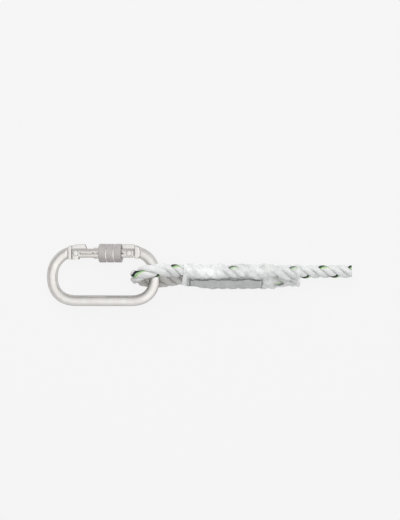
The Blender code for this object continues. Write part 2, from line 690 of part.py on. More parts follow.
def route_frames(points):
    """Directions along the route, and a side vector carried along it without twist."""
    along = np.gradient(points, axis=0)
    along /= np.linalg.norm(along, axis=1)[:, None]
    side = np.array([0.0, 1.0, 0.0])
    sides = []
    for direction in along:
        side = side - direction * float(side @ direction)
        side /= np.linalg.norm(side)
        sides.append(side)
    sides = np.array(sides)
    return along, sides, np.cross(along, sides)


def lay_phase(distances, points):
    """How far the strands have turned at each point. The lay opens a little in the eye."""
    bend = points[:, 0] < EYE_BAR_FROM_END - LANYARD_LENGTH / 2 + ROPE_RADIUS
    pitch = np.where(bend, LAY_LENGTH_IN_BEND, LAY_LENGTH)
    steps = np.diff(distances) * 2 * math.pi / ((pitch[1:] + pitch[:-1]) / 2)
    phase = np.concatenate([[0], np.cumsum(steps)])
    turn = int(np.argmin(points[:, 0]))
    facing = STRAND_AT_GATE_SIDE - LANYARD_LENGTH / 2
    return phase - float(np.interp(-facing, -points[:turn, 0], phase[:turn]))


def tail_taper(distances):
    """The spliced end's thickness as a share of the rope's, one but for its last stretch."""
    left = (distances[-1] - distances) / TAIL_TAPER_LENGTH
    return TAIL_TAPER_SHARE + (1 - TAIL_TAPER_SHARE) * np.clip(left, 0, 1)


def strand_lines():
    """The centre line of each strand, with its thickness shares."""
    distances, points = smooth_route()
    along, sides, ups = route_frames(points)
    phase = lay_phase(distances, points)
    shares = tail_taper(distances)
    count = int((phase[-1] - phase[0]) / (2 * math.pi) * STRAND_POINTS_PER_TURN) + 1
    wanted = np.linspace(phase[0], phase[-1], count)
    at = np.interp(wanted, phase, distances)

    def read(values):
        return np.stack([np.interp(at, distances, values[:, axis]) for axis in range(3)], axis=1)

    centre, side, up = read(points), read(sides), read(ups)
    share = np.interp(at, distances, shares)
    reach = (ROPE_RADIUS - STRAND_RADIUS) * share
    lines = []
    for strand in range(STRAND_COUNT):
        turn = wanted + 2 * math.pi * strand / STRAND_COUNT
        line = centre + reach[:, None] * (np.cos(turn)[:, None] * side +
                                          np.sin(turn)[:, None] * up)
        lines.append((line, share))
    return lines


def make_strands(parts, cutters, materials):
    """Three continuous strands, laid right-handed along the whole rope and cut square."""
    lines = strand_lines()
    strands = []
    end = LANYARD_LENGTH / 2
    past = ROPE_ROUTE[0][0] - LANYARD_LENGTH + ROPE_DIAMETER
    cut = place("rope_end_cut", box_mesh("rope_end_cut", (end, -ROPE_DIAMETER, -ROPE_DIAMETER),
                                         (end + past, 2 * ROPE_DIAMETER, 2 * ROPE_DIAMETER)),
                cutters)
    for index, (line, share) in enumerate(lines):
        name = f"rope_strand_{index + 1}"
        curve = tube_curve(name, [tuple(point) for point in line], STRAND_RADIUS, 2,
                           [float(value) for value in share])
        strand = mesh_from_curve(place(name, curve, parts))
        apply_boolean(strand, cut, "DIFFERENCE")
        finish(strand, materials[index], 60.0)
        strands.append(strand)
    for first in range(STRAND_COUNT):
        for second in range(first + 1, STRAND_COUNT):
            a, share_a = lines[first]
            b, share_b = lines[second]
            apart = np.linalg.norm(a[:, None, :] - b[None, :, :], axis=2)
            clear = apart - STRAND_RADIUS * (share_a[:, None] + share_b[None, :])
            print(f"strands {first + 1} and {second + 1}: least gap {clear.min() / MM:.2f} mm")
    return strands


def legs_at(along_x, distances, points, shares):
    """Centres and radii of the standing part and the returning part at a place along X."""
    turn = int(np.argmin(points[:, 0]))
    legs = []
    for part in (slice(0, turn + 1), slice(turn, None)):
        order = np.argsort(points[part, 0])
        xs = points[part, 0][order]
        if along_x > xs[-1]:
            continue
        side = float(np.interp(along_x, xs, points[part, 1][order]))
        height = float(np.interp(along_x, xs, points[part, 2][order]))
        share = float(np.interp(along_x, xs, shares[part][order]))
        legs.append((side, height, ROPE_RADIUS * share))
    return legs


def make_film(parts, material):
    """Open-ended clear film: a skin stretched round both legs of the splice, then thickened."""
    distances, points = smooth_route()
    shares = tail_taper(distances)
    clearance = 2 * TOUCH_GAP + LABEL_THICKNESS
    start = FILM_START - LANYARD_LENGTH / 2
    stop = FILM_END - LANYARD_LENGTH / 2
    shape = bmesh.new()
    rows = []
    legs = []
    for station in range(FILM_STATIONS):
        x = start + (stop - start) * station / (FILM_STATIONS - 1)
        found = legs_at(x, distances, points, shares)
        legs = found if len(found) == 2 else [found[0], legs[1]]
        row = []
        for side in range(FILM_SIDES):
            turn = 2 * math.pi * side / FILM_SIDES
            outward = (math.cos(turn), math.sin(turn))
            y, z, radius = max(legs, key=lambda leg: leg[0] * outward[0] + leg[1] * outward[1]
                               + leg[2])
            reach = radius + clearance
            row.append(shape.verts.new((x, y + reach * outward[0], z + reach * outward[1])))
        rows.append(row)
    for low, high in zip(rows, rows[1:]):
        for side in range(FILM_SIDES):
            following = (side + 1) % FILM_SIDES
            shape.faces.new((low[side], low[following], high[following], high[side]))
    mesh = mesh_from_bmesh("heat_shrink_sleeve", shape)
    film = place("heat_shrink_sleeve", mesh, parts)
    thicken(film, FILM_THICKNESS)
    finish(film, material)
    return film


def thicken(made, thickness):
    """Grows an open skin outwards to a solid sheet."""
    solidify = made.modifiers.new("thickness", "SOLIDIFY")
    solidify.thickness = thickness
    solidify.offset = 1.0
    solidify.use_even_offset = True


def make_label(parts, material):
    """A thin strip wrapped round the outer side of the returning leg, under the film."""
    distances, points = smooth_route()
    shares = tail_taper(distances)
    start = LABEL_START - LANYARD_LENGTH / 2
    stop = LABEL_END - LANYARD_LENGTH / 2
    reach = TOUCH_GAP
    shape = bmesh.new()
    rows = []
    for station in range(LABEL_STATIONS):
        x = start + (stop - start) * station / (LABEL_STATIONS - 1)
        y, z, radius = legs_at(x, distances, points, shares)[1]
        row = []
        for column in range(LABEL_COLUMNS):
            turn = LABEL_TOP_ANGLE + (LABEL_BOTTOM_ANGLE - LABEL_TOP_ANGLE) * column / (
                LABEL_COLUMNS - 1)
            out = radius + reach
            row.append(shape.verts.new((x, y + out * math.cos(turn), z + out * math.sin(turn))))
        rows.append(row)
    for low, high in zip(rows, rows[1:]):
        for column in range(LABEL_COLUMNS - 1):
            shape.faces.new((low[column], low[column + 1], high[column + 1], high[column]))
    mesh = mesh_from_bmesh("id_label", shape)
    label = place("id_label", mesh, parts)
    thicken(label, LABEL_THICKNESS)
    finish(label, material)
    return label


def main():
    clear_scene()
    parts = make_collection("tree_climbing_lanyard")
    cutters = make_collection("cutters")
    bright_steel = make_material("bright_steel", (0.72, 0.70, 0.67), 1.0, 0.28)
    matte_steel = make_material("matte_steel", (0.52, 0.50, 0.48), 1.0, 0.55)
    spring_steel = make_material("spring_steel", (0.40, 0.40, 0.40), 1.0, 0.35)
    white_yarn = make_material("white_yarn", (0.86, 0.87, 0.88), 0.0, 0.75)
    tracer_yarn = make_material("tracer_yarn", (0.74, 0.82, 0.72), 0.0, 0.75)
    clear_film = make_material("clear_film", (0.93, 0.95, 0.95), 0.0, 0.15, 0.3)
    label_paper = make_material("label_paper", (0.62, 0.64, 0.65), 0.0, 0.5)

    bar_place = (EYE_BAR_FROM_END - LANYARD_LENGTH / 2, RING_MIDDLE_Y, EYE_BAR_HEIGHT)
    frame = make_empty("carabiner_frame", parts, bar_place, turn_y=-TILT)
    gate_frame = make_empty("gate_frame", parts, (HINGE_X, GATE_AXIS_Y, 0), frame)

    make_carabiner_body(parts, cutters, frame, bright_steel)
    make_gate(parts, cutters, gate_frame, bright_steel)
    make_rivet("gate_hinge_rivet", RIVET_DIAMETER, 0, parts, gate_frame, bright_steel)
    make_rivet("latch_pin", PIN_DIAMETER, -SPACING, parts, gate_frame, bright_steel)
    make_sleeve(parts, gate_frame, matte_steel)
    make_plunger(parts, gate_frame, spring_steel)
    make_spring(parts, gate_frame, spring_steel)
    make_strands(parts, cutters, [tracer_yarn, white_yarn, white_yarn])
    make_film(parts, clear_film)
    make_label(parts, label_paper)


main()
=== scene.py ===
from collections import namedtuple
import math

import bmesh
import bpy
import numpy as np
from mathutils import Matrix, Vector, noise
from mathutils.bvhtree import BVHTree


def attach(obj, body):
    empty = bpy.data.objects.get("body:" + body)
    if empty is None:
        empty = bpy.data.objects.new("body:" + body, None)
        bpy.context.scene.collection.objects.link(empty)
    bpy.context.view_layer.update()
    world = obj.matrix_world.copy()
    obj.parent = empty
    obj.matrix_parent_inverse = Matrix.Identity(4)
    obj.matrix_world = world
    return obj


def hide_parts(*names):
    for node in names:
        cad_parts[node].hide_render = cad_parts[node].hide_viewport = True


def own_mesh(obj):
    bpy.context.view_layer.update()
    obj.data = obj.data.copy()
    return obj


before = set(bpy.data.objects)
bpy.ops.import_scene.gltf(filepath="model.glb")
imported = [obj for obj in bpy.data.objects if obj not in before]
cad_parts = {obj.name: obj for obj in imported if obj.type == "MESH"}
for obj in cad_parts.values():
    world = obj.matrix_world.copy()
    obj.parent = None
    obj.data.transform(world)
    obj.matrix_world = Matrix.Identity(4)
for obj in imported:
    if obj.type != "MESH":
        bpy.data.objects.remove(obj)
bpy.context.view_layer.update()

MM = 0.001

# Camera: straight above, framed as the photograph is
PIXEL = 0.9515 * MM
PICTURE_HEIGHT = 520 * PIXEL
CAMERA_DISTANCE = 1.6
CAMERA_AIM = (0.76 * MM, 13.6 * MM, 12.0 * MM)
SENSOR = 36.0

# Places along the lanyard are measured from the carabiner's far end, as in the part's source
LANYARD_LENGTH = 290.6 * MM
HALF_LENGTH = LANYARD_LENGTH / 2
EYE_END = 112.0 * MM

# The rope's route in millimetres: along, towards the gate's side, and up
ROPE_ROUTE = (
    (296.0, 2.7, 6.3), (272.0, 2.7, 6.5), (255.0, 2.5, 8.8), (238.0, 2.0, 12.2),
    (222.0, 2.2, 14.4), (205.0, 2.4, 15.9), (182.0, 2.4, 16.0), (160.0, 2.4, 16.2),
    (144.0, 2.6, 17.3), (132.0, 3.2, 20.2), (121.0, 3.8, 24.9), (111.5, 4.0, 29.0),
    (101.0, 3.4, 31.5), (90.2, 0.8, 28.2), (85.7, -2.1, 19.0), (90.2, -4.6, 9.9),
    (101.0, -6.3, 6.4), (112.0, -6.0, 6.3), (122.0, -4.6, 6.3), (132.0, -3.7, 6.3),
    (142.0, -5.3, 6.8), (153.0, -7.3, 7.5), (168.0, -7.5, 7.6), (184.0, -7.5, 7.6),
    (206.0, -7.4, 7.5), (222.0, -7.1, 6.5), (238.4, -6.7, 5.4),
)

# Sizes of the rope. A fullness of 2 makes a strand's section an ellipse, and more makes it
# squarer. YARN_SLIP holds turns of the strands, and how far the yarns have slipped there.
STRANDS = 3
STRAND_RADIUS = 2.70 * MM
STRAND_REACH = 3.53 * MM
LAY_LENGTH = 28.7 * MM
LAY_LENGTH_IN_BEND = 50.0 * MM
STRAND_AT_GATE_SIDE = 261.0 * MM
TAIL_TAPER_LENGTH = 33.0 * MM
TAIL_TAPER_SHARE = 0.64
ROUTE_STEP = 0.5 * MM
RING_STEP = 0.9 * MM
YARNS = 16
YARN_SAMPLES = 4
YARN_TURNS = -3.0
YARN_SLIP = ((1850.0, 2073.0), (0.0, -130.0))
YARN_DEPTH = 0.15 * MM
LOWER_LEG_FLAT = 0.6
STRAND_UV_APART = 20
INNER_REACH = 3.2 * MM
INNER_NARROW = 0.3
FULLNESS = 2.2
FULLNESS_IN_EYE = 2.7
FULLNESS_BELOW = 3.4

# Coloured yarns of the first strand: their places round it in degrees, and their widths
# as shares of a white yarn's width
DARK_YARNS = ((-74.0, 2.0), (-98.0, 2.0))
GREEN_YARNS = ((-134.0, 1.8),)
PALE_YARNS = ((-168.0, 1.5),)
# Painted shade: the grey that the eye's lower leg, lying under the upper leg, is darkened to
PAINTED_SHADE_YARN = (0.62, 0.61, 0.59)
TRACER_SIDES = 10
TRACER_HALF_HEIGHT = 0.40 * MM
TRACER_PROUD = 0.14 * MM
TRACER_SINK = 1.6 * MM
TRACER_SINK_LENGTH = 4 * TRACER_SINK

# Sizes of the film and the label. FILM_ABOVE is the film's least height over what lies below
# it, and how much more that is over the label. LEG_Y and LEG_Z are the middle of the splice's
# returning leg, round which the label's turns are measured, in degrees.
FILM_START = 130.8 * MM
FILM_END = 241.2 * MM
FILM_FROM, FILM_TO = FILM_START - HALF_LENGTH, FILM_END - HALF_LENGTH
FILM_CLEARANCE = 0.35 * MM
FILM_THICKNESS = 0.25 * MM
FILM_STATIONS = 190
FILM_SIDES = 120
FILM_STRETCH = 1.7
FILM_ALPHA = (0.50, 0.86)
FILM_ALPHA_LEAST = 0.07
FILM_END_MILK = 1.3
FILM_SINK = 0.5
FILM_SINK_MOST = 1.3 * MM
FILM_ABOVE = (0.16 * MM, 0.30 * MM)
FILM_SEARCH = 30.0 * MM
FILM_FLARE = 9.0 * MM
FILM_HOLD = 7.0 * MM
FILM_CORNER = 4.5 * MM
FILM_CORNER_DEPTH = 6.0 * MM
FILM_LOBE = 2.6 * MM
FILM_LOBE_DEPTH = 9.0 * MM
FILM_OUTLINE_STEPS = 180
FILM_LIFT_BESIDE = 0.6
SOFTEN = (0.25, 0.5, 0.25)

# Folds of the film, and its swells: height, then the stretch and shift of their noise
CREASE_CELL = 7.0 * MM
CREASE_SHARPNESS = 3
FOLDS = ((0.7 * MM, (1.2, 0.7, 0.7), (0.0, 0.0, 0.0)),
         (0.14 * MM, (2.6, 1.7, 1.7), (9.0, 0.0, 0.0)))
SWELLS = (0.9 * MM, (0.5, 0.4, 0.4), (0.0, 4.0, 0.0))
SWELL_MORE = 0.1

# How much less the film sinks over the label, and how much less it is folded there
SINK_OVER_LABEL = 0.85
FOLDS_OVER_LABEL = 0.7

LABEL_START = 135.1 * MM
LABEL_END = 205.0 * MM
LABEL_WIDTH_MM = 21.0
LABEL_THICKNESS = 0.15 * MM
LABEL_BELOW_FILM = 0.08 * MM
LABEL_COLUMNS = 40
LABEL_TOP = 78.0
LABEL_BOTTOM = 212.0
LABEL_FADE = 2.0 * MM
LABEL_FADE_TURN = 8.0
LABEL_FADE_TOP = 0.3
LABEL_LINE = 0.65
LABEL_ENDS = 0.65
LEG_Y = -7.5 * MM
LEG_Z = 7.6 * MM

# Waves of the label's upper edge: degrees, length, and place in the noise
LABEL_WAVES = ((7, 10 * MM, 0.0), (3, 4 * MM, 5.0))

# Clearer and cloudier places of the film: middle, half length, and share of more cloud
FILM_CLOUDS = ((176.0 * MM, 8.0 * MM, -0.85), (228.0 * MM, 12.0 * MM, -0.85),
               (152.0 * MM, 11.0 * MM, 0.4))

# Tucked strands under the film, each from its start to its end along the lanyard, and their
# course across it in millimetres: towards the gate's side, and up
TUCKS = ((141.0 * MM, 167.0 * MM), (178.0 * MM, 206.0 * MM), (205.0 * MM, 233.0 * MM))
TUCK_COURSE = ((7.6, 15.0), (6.6, 19.0), (3.4, 21.3), (0.0, 20.2), (-3.0, 16.8), (-4.6, 12.6))
TUCK_RADIUS = 2.1 * MM
TUCK_STEPS = 60
TUCK_YARNS = 12
TUCK_TWIST = 0.12
TUCK_SPACING = 0.5 * MM
TUCK_SMOOTHING = 4
TUCK_END_POWER = 8
TUCK_END_LEAST = 0.05


# Helpers

def add_object(name, data):
    made = bpy.data.objects.new(name, data)
    bpy.context.scene.collection.objects.link(made)
    return made


def smooth(mesh):
    mesh.polygons.foreach_set("use_smooth", [True] * len(mesh.polygons))
    mesh.update()


def mesh_of(name, points, faces):
    mesh = bpy.data.meshes.new(name)
    mesh.from_pydata([tuple(p) for p in points], [], [tuple(int(i) for i in f) for f in faces])
    mesh.update()
    return mesh


def shape_of(mesh):
    shape = bmesh.new()
    shape.from_mesh(mesh)
    return shape


def write_back(shape, mesh):
    shape.to_mesh(mesh)
    shape.free()
    smooth(mesh)


def add_attribute(mesh, name, values):
    attribute = mesh.attributes.new(name, "FLOAT", "POINT")
    attribute.data.foreach_set("value", values.ravel().astype(np.float32))


def unit(vectors):
    return vectors / np.linalg.norm(vectors, axis=-1, keepdims=True)


def square_to(along, vectors):
    """What is left of vectors square to a line's directions, at unit length."""
    return unit(vectors - along * (vectors * along).sum(1)[:, None])


def distances_along(points):
    return np.concatenate([[0], np.cumsum(np.linalg.norm(np.diff(points, axis=0), axis=1))])


def even_turns(count):
    return 2 * math.pi * np.arange(count) / count


def read_columns(at, places, values):
    return np.stack([np.interp(at, places, column) for column in values.T], axis=1)


def rings_round(line, first, second, turns, radius=1.0):
    """Rings of points round a line, from two vectors across it at each of its points."""
    return (line[:, None, :] + (radius * np.cos(turns))[..., None] * first[:, None, :]
            + (radius * np.sin(turns))[..., None] * second[:, None, :])


def tube_faces(rings, columns, start=0):
    faces = []
    for ring in range(rings - 1):
        base = start + ring * columns
        for column in range(columns):
            following = (column + 1) % columns
            faces.append((base + column, base + following, base + columns + following,
                          base + columns + column))
    faces.append(tuple(start + column for column in reversed(range(columns))))
    faces.append(tuple(start + (rings - 1) * columns + column for column in range(columns)))
    return faces


def add_thickness(piece, thickness, offset, inner_material=0):
    solidify = piece.modifiers.new("thickness", "SOLIDIFY")
    solidify.thickness = thickness
    solidify.offset = offset
    solidify.material_offset = inner_material


# Materials

class Nodes:
    """A node tree, with short ways to add what the materials are made of."""

    def __init__(self, tree):
        self.nodes, self.links = tree.nodes, tree.links

    def fill(self, node, inputs):
        """Sets a node's inputs to numbers or colours, or links them to other outputs."""
        for key, value in inputs.items():
            socket = node.inputs[key]
            if isinstance(value, bpy.types.NodeSocket):
                self.links.new(value, socket)
            elif socket.type == "RGBA":
                socket.default_value = (*value, 1.0)
            else:
                socket.default_value = value

    def add(self, kind, inputs=None, output=0, **settings):
        made = self.nodes.new("ShaderNode" + kind)
        for key, value in settings.items():
            setattr(made, key, value)
        self.fill(made, inputs or {})
        return made.outputs[output]

    def math(self, operation, *values):
        return self.add("Math", dict(enumerate(values)), operation=operation)

    def coordinates(self, kind="Object", scale=(1.0, 1.0, 1.0)):
        return self.add("Mapping", {"Vector": self.add("TexCoord", output=kind), "Scale": scale})

    def noise(self, scale, detail, place):
        return self.add("TexNoise", {"Vector": place, "Scale": scale, "Detail": detail,
                                     "Roughness": 0.55}, "Fac")

    def remap(self, value, low, high, to_low=0.0, to_high=1.0):
        return self.add("MapRange", {"Value": value, "From Min": low, "From Max": high,
                                     "To Min": to_low, "To Max": to_high}, "Result")

    def mix(self, share, first, second):
        """A mix of two colours. The colour sockets follow those for numbers and vectors."""
        return self.add("Mix", {0: share, 6: first, 7: second}, 2, data_type="RGBA")

    def bump(self, height, distance, normal=None):
        inputs = {"Height": height, "Distance": distance, "Strength": 1.0}
        if normal is not None:
            inputs["Normal"] = normal
        return self.add("Bump", inputs, "Normal")

    def attribute(self, name):
        return self.add("Attribute", output="Fac", attribute_name=name)

    def rays(self, shares):
        """The largest of several kinds of ray, each times its share."""
        most = None
        for kind, share in shares.items():
            part = self.math("MULTIPLY", self.add("LightPath", output=kind), share)
            most = part if most is None else self.math("MAXIMUM", most, part)
        return most


class Surface(Nodes):
    """A new material with its shader."""

    def __init__(self, name, colour, metallic, roughness):
        self.material = bpy.data.materials.new(name)
        self.material.use_nodes = True
        super().__init__(self.material.node_tree)
        self.shader = self.nodes["Principled BSDF"]
        self.set({"Base Color": colour, "Metallic": metallic, "Roughness": roughness})

    def set(self, inputs):
        self.fill(self.shader, inputs)
        return self.material


def steel_material(name, dark, light, rough, grain, depth, edge_tint=0.25, rounding=0.0,
                   metallic=1.0):
    """Steel with clouded tone and roughness, a fine grain, scuffs and softened edges."""
    steel = Surface(name, light, metallic, rough[1])
    place = steel.coordinates()
    cloud = steel.noise(90.0, 5.0, place)
    fine = steel.noise(grain, 3.0, place)
    scuff = steel.noise(700.0, 2.0, steel.coordinates(scale=(0.25, 1.6, 1.0)))
    tone = steel.mix(steel.remap(cloud, 0.3, 0.7), dark, light)
    marks = steel.remap(scuff, 0.62, 0.72, 0.0, 0.25)
    soft = steel.add("Bevel", {"Radius": rounding}, samples=6) if rounding else None
    return steel.set({"Specular Tint": (edge_tint, edge_tint, edge_tint),
                      "Base Color": steel.mix(marks, tone, tuple(0.8 * c for c in dark)),
                      "Roughness": steel.remap(cloud, 0.3, 0.7, rough[1], rough[0]),
                      "Normal": steel.bump(fine, depth, soft)})


def yarn_material(name, dark, light, sheen=0.3):
    """Polyamide yarn: fine filaments along the yarn, cloudy tone along the rope, and painted
    shade that greys the eye's lower leg.
    """
    yarn = Surface(name, light, 0.0, 0.55)
    filament = yarn.noise(1.0, 2.0, yarn.coordinates("UV", (5.0, 0.5, 1.0)))
    cloud = yarn.noise(160.0, 3.0, yarn.coordinates())
    tone = yarn.math("ADD", yarn.remap(filament, 0.3, 0.7, 0.0, 0.6),
                     yarn.remap(cloud, 0.35, 0.65, 0.0, 0.4))
    fresh = yarn.mix(tone, dark, light)
    return yarn.set({"Sheen Weight": sheen, "Sheen Roughness": 0.4, "Specular IOR Level": 0.4,
                     # Painted shade: the eye's lower leg is darkened towards a grey
                     "Base Color": yarn.mix(yarn.attribute("worn"), fresh, PAINTED_SHADE_YARN),
                     "Normal": yarn.bump(filament, 0.12 * MM)})


def cut_material(name):
    """The rope's cut face: the ends of its filaments, in bundles."""
    cut = Surface(name, (0.7, 0.71, 0.7), 0.0, 0.8)
    place = cut.coordinates()
    cells = cut.add("TexVoronoi", {"Scale": 1400.0, "Vector": place}, "Distance")
    tone = cut.remap(cells, 0.0, 0.7, 1.0, 0.0)
    return cut.set({"Base Color": cut.mix(tone, (0.58, 0.59, 0.59), (0.90, 0.91, 0.90)),
                    "Normal": cut.bump(tone, 0.08 * MM)})


def film_material(name, inner=False):
    """Milky shrunk film with a glossy skin: cloudier in places, and finely creased. Its
    inner face is all but clear."""
    film = Surface(name, (0.975, 0.985, 0.98), 0.0, 0.22)
    place = film.coordinates()
    alpha = FILM_ALPHA_LEAST / 2
    if not inner:
        cloud = film.remap(film.noise(120.0, 4.0, place), 0.35, 0.65, *FILM_ALPHA)
        alpha = film.add("Math", {0: cloud, 1: film.attribute("milk"), 2: FILM_ALPHA_LEAST},
                         operation="MULTIPLY_ADD", use_clamp=True)
    return film.set({"Coat Weight": 1.0, "Coat Roughness": 0.08, "Coat IOR": 1.7,
                     "Specular IOR Level": 0.8, "Sheen Weight": 0.35, "Sheen Roughness": 0.5,
                     "Alpha": alpha,
                     "Normal": film.bump(film.noise(380.0, 2.0, place), 0.12 * MM)})


def label_material(name, long, wide):
    """Label stock with a thin printed border line and nothing printed inside it."""
    label = Surface(name, (0.6, 0.61, 0.61), 0.0, 0.45)
    uv = label.coordinates("UV")
    nearest = None
    for output, size in (("X", long), ("Y", wide)):
        value = label.add("SeparateXYZ", {0: uv}, output)
        closer = label.math("MINIMUM", value, label.math("SUBTRACT", size, value))
        nearest = closer if nearest is None else label.math("MINIMUM", nearest, closer)
    line = label.remap(nearest, LABEL_LINE + 0.2, LABEL_LINE - 0.1)
    cloud = label.noise(140.0, 3.0, label.coordinates())
    stock = label.mix(label.remap(cloud, 0.3, 0.7), (0.52, 0.53, 0.53), (0.60, 0.61, 0.61))
    return label.set({"Base Color": label.mix(line, stock, (0.03, 0.035, 0.04)),
                      "Normal": label.bump(cloud, 0.3 * MM)})


# Rope

Strand = namedtuple("Strand", "line out across turn taper half_width fullness worn")


def catmull(four, knots, at):
    first = [((knots[b] - at) * four[a] + (at - knots[a]) * four[b]) / (knots[b] - knots[a])
             for a, b in ((0, 1), (1, 2), (2, 3))]
    second = [((knots[b] - at) * first[a] + (at - knots[a]) * first[a + 1])
              / (knots[b] - knots[a]) for a, b in ((0, 2), (1, 3))]
    return ((knots[2] - at) * second[0] + (at - knots[1]) * second[1]) / (knots[2] - knots[1])


def smooth_route():
    """Distances along the rope and its middle's points, in even steps on a smooth curve."""
    route = list(np.array(ROPE_ROUTE) * MM - (HALF_LENGTH, 0.0, 0.0))
    padded = [2 * route[0] - route[1]] + route + [2 * route[-1] - route[-2]]
    dense = []
    for index in range(1, len(padded) - 2):
        four = padded[index - 1:index + 3]
        knots = [0.0]
        for first, second in zip(four, four[1:]):
            knots.append(knots[-1] + math.sqrt(np.linalg.norm(second - first)))
        count = 2 + int(np.linalg.norm(four[2] - four[1]) / ROUTE_STEP) * 3
        for share in np.linspace(0, 1, count, endpoint=False):
            dense.append(catmull(four, knots, knots[1] + share * (knots[2] - knots[1])))
    dense = np.array(dense + [padded[-2]])
    lengths = distances_along(dense)
    even = np.linspace(0, lengths[-1], int(round(lengths[-1] / ROUTE_STEP)) + 1)
    return even, read_columns(even, lengths, dense)


def route_sides(along):
    """A vector across the route at each point, carried along it without twisting."""
    side = np.array([0.0, 1.0, 0.0])
    sides = []
    for direction in along:
        side = unit(side - direction * float(side @ direction))
        sides.append(side)
    return np.array(sides)


DISTANCES, ROUTE = smooth_route()
ALONG = unit(np.gradient(ROUTE, axis=0))
SIDES = route_sides(ALONG)
UPS = np.cross(ALONG, SIDES)
TURNING_POINT = int(np.argmin(ROUTE[:, 0]))


def lay_phase():
    """How far the strands have turned round the rope at each point of the route."""
    pitch = np.where(ROUTE[:, 0] < EYE_END - HALF_LENGTH, LAY_LENGTH_IN_BEND, LAY_LENGTH)
    steps = np.diff(DISTANCES) * 2 * math.pi / ((pitch[1:] + pitch[:-1]) / 2)
    phase = np.concatenate([[0], np.cumsum(steps)])
    facing = STRAND_AT_GATE_SIDE - HALF_LENGTH
    return phase - float(np.interp(-facing, -ROUTE[:TURNING_POINT, 0], phase[:TURNING_POINT]))


PHASE = lay_phase()
LEFT_OVER = (DISTANCES[-1] - DISTANCES) / TAIL_TAPER_LENGTH
TAPER = TAIL_TAPER_SHARE + (1 - TAIL_TAPER_SHARE) * np.clip(LEFT_OVER, 0, 1)


def smoothed(values, reach=8):
    kernel = np.ones(2 * reach + 1) / (2 * reach + 1)
    return np.convolve(np.pad(values.astype(float), reach, mode="edge"), kernel, "valid")


def follow_strand(strand):
    """One strand, ring by ring: its middle, outward and sideways vectors, lay angle, taper,
    half width and fullness of its section, and a mask of the eye's lower leg, where the yarns are
    flattened and painted shade darkens them."""
    at = np.linspace(0, DISTANCES[-1], int(DISTANCES[-1] / RING_STEP) + 1)
    centre, forward, side, up = (read_columns(at, DISTANCES, values)
                                 for values in (ROUTE, ALONG, SIDES, UPS))
    turn = np.interp(at, DISTANCES, PHASE) + 2 * math.pi * strand / STRANDS
    taper = np.interp(at, DISTANCES, TAPER)
    out = np.cos(turn)[:, None] * side + np.sin(turn)[:, None] * up
    line = centre + (STRAND_REACH * taper)[:, None] * out
    along = unit(np.gradient(line, axis=0))
    out = square_to(along, out)
    half_width = math.pi * STRAND_REACH / STRANDS * (along * forward).sum(1)
    in_eye = np.clip((EYE_END - HALF_LENGTH - centre[:, 0]) / STRAND_REACH / 2, 0, 1)
    # The eye's lower leg, past the bend and before the film: its yarns are flattened, and painted
    # shade darkens it
    worn = smoothed((centre[:, 0] < FILM_FROM) & (at > DISTANCES[TURNING_POINT]))
    fullness = np.where(worn > 0.5, FULLNESS_BELOW,
                        FULLNESS + (FULLNESS_IN_EYE - FULLNESS) * in_eye)
    return Strand(line, out, np.cross(along, out), turn, taper, half_width,
                  smoothed(fullness), worn)


STRAND_LIST = [follow_strand(strand) for strand in range(STRANDS)]


def strand_skin(strand, angle, depth):
    """Points of the strand's skin at angles from its outer side, a little below the skin."""
    cos, sin = np.cos(angle), np.sin(angle)
    power = 2 / strand.fullness[:, None]
    outer = STRAND_RADIUS * np.abs(cos) ** power
    width = strand.half_width[:, None] * (1 - INNER_NARROW * np.clip(-cos, 0, 1))
    x = np.where(cos > 0, outer, -INNER_REACH * np.abs(cos)) - depth * cos
    y = width * np.sign(sin) * np.abs(sin) ** power - depth * sin
    x, y = ((values * strand.taper[:, None])[:, :, None] for values in (x, y))
    return strand.line[:, None, :] + x * strand.out[:, None, :] + y * strand.across[:, None, :]


def yarn_angle(strand, place):
    """Where a yarn runs round its strand. The yarns slip round a little in the bend."""
    slip = np.interp(np.degrees(strand.turn), *YARN_SLIP)
    return (YARN_TURNS * strand.turn + np.radians(slip))[:, None] + place


def yarn_sag(columns):
    """How far the skin lies below a yarn's crest at each column, as a share."""
    beside = 2 * np.abs((np.arange(columns) / YARN_SAMPLES + 0.5) % 1 - 0.5)
    return 1 - np.sqrt(np.clip(1 - beside ** 2, 0, 1))


def strand_surface(strand):
    """Rings of one strand, with its yarns as rounded ridges."""
    step = np.arange(YARNS * YARN_SAMPLES) / YARN_SAMPLES
    angle = yarn_angle(strand, 2 * math.pi * step[None, :] / YARNS)
    depth = YARN_DEPTH * (1 - LOWER_LEG_FLAT * strand.worn)
    return strand_skin(strand, angle, depth[:, None] * yarn_sag(len(step))[None, :])


def unwrap_round(mesh, uv, period):
    """Carries u on past the last column, where a tube's faces close the round."""
    start = np.zeros(len(mesh.polygons), np.int32)
    total = np.zeros(len(mesh.polygons), np.int32)
    mesh.polygons.foreach_get("loop_start", start)
    mesh.polygons.foreach_get("loop_total", total)
    corners = start[total == 4][:, None] + np.arange(4)[None, :]
    u = uv[corners, 0]
    behind = u < u.max(1, keepdims=True) - period / 2
    uv[corners, 0] = u + period * behind
    return uv


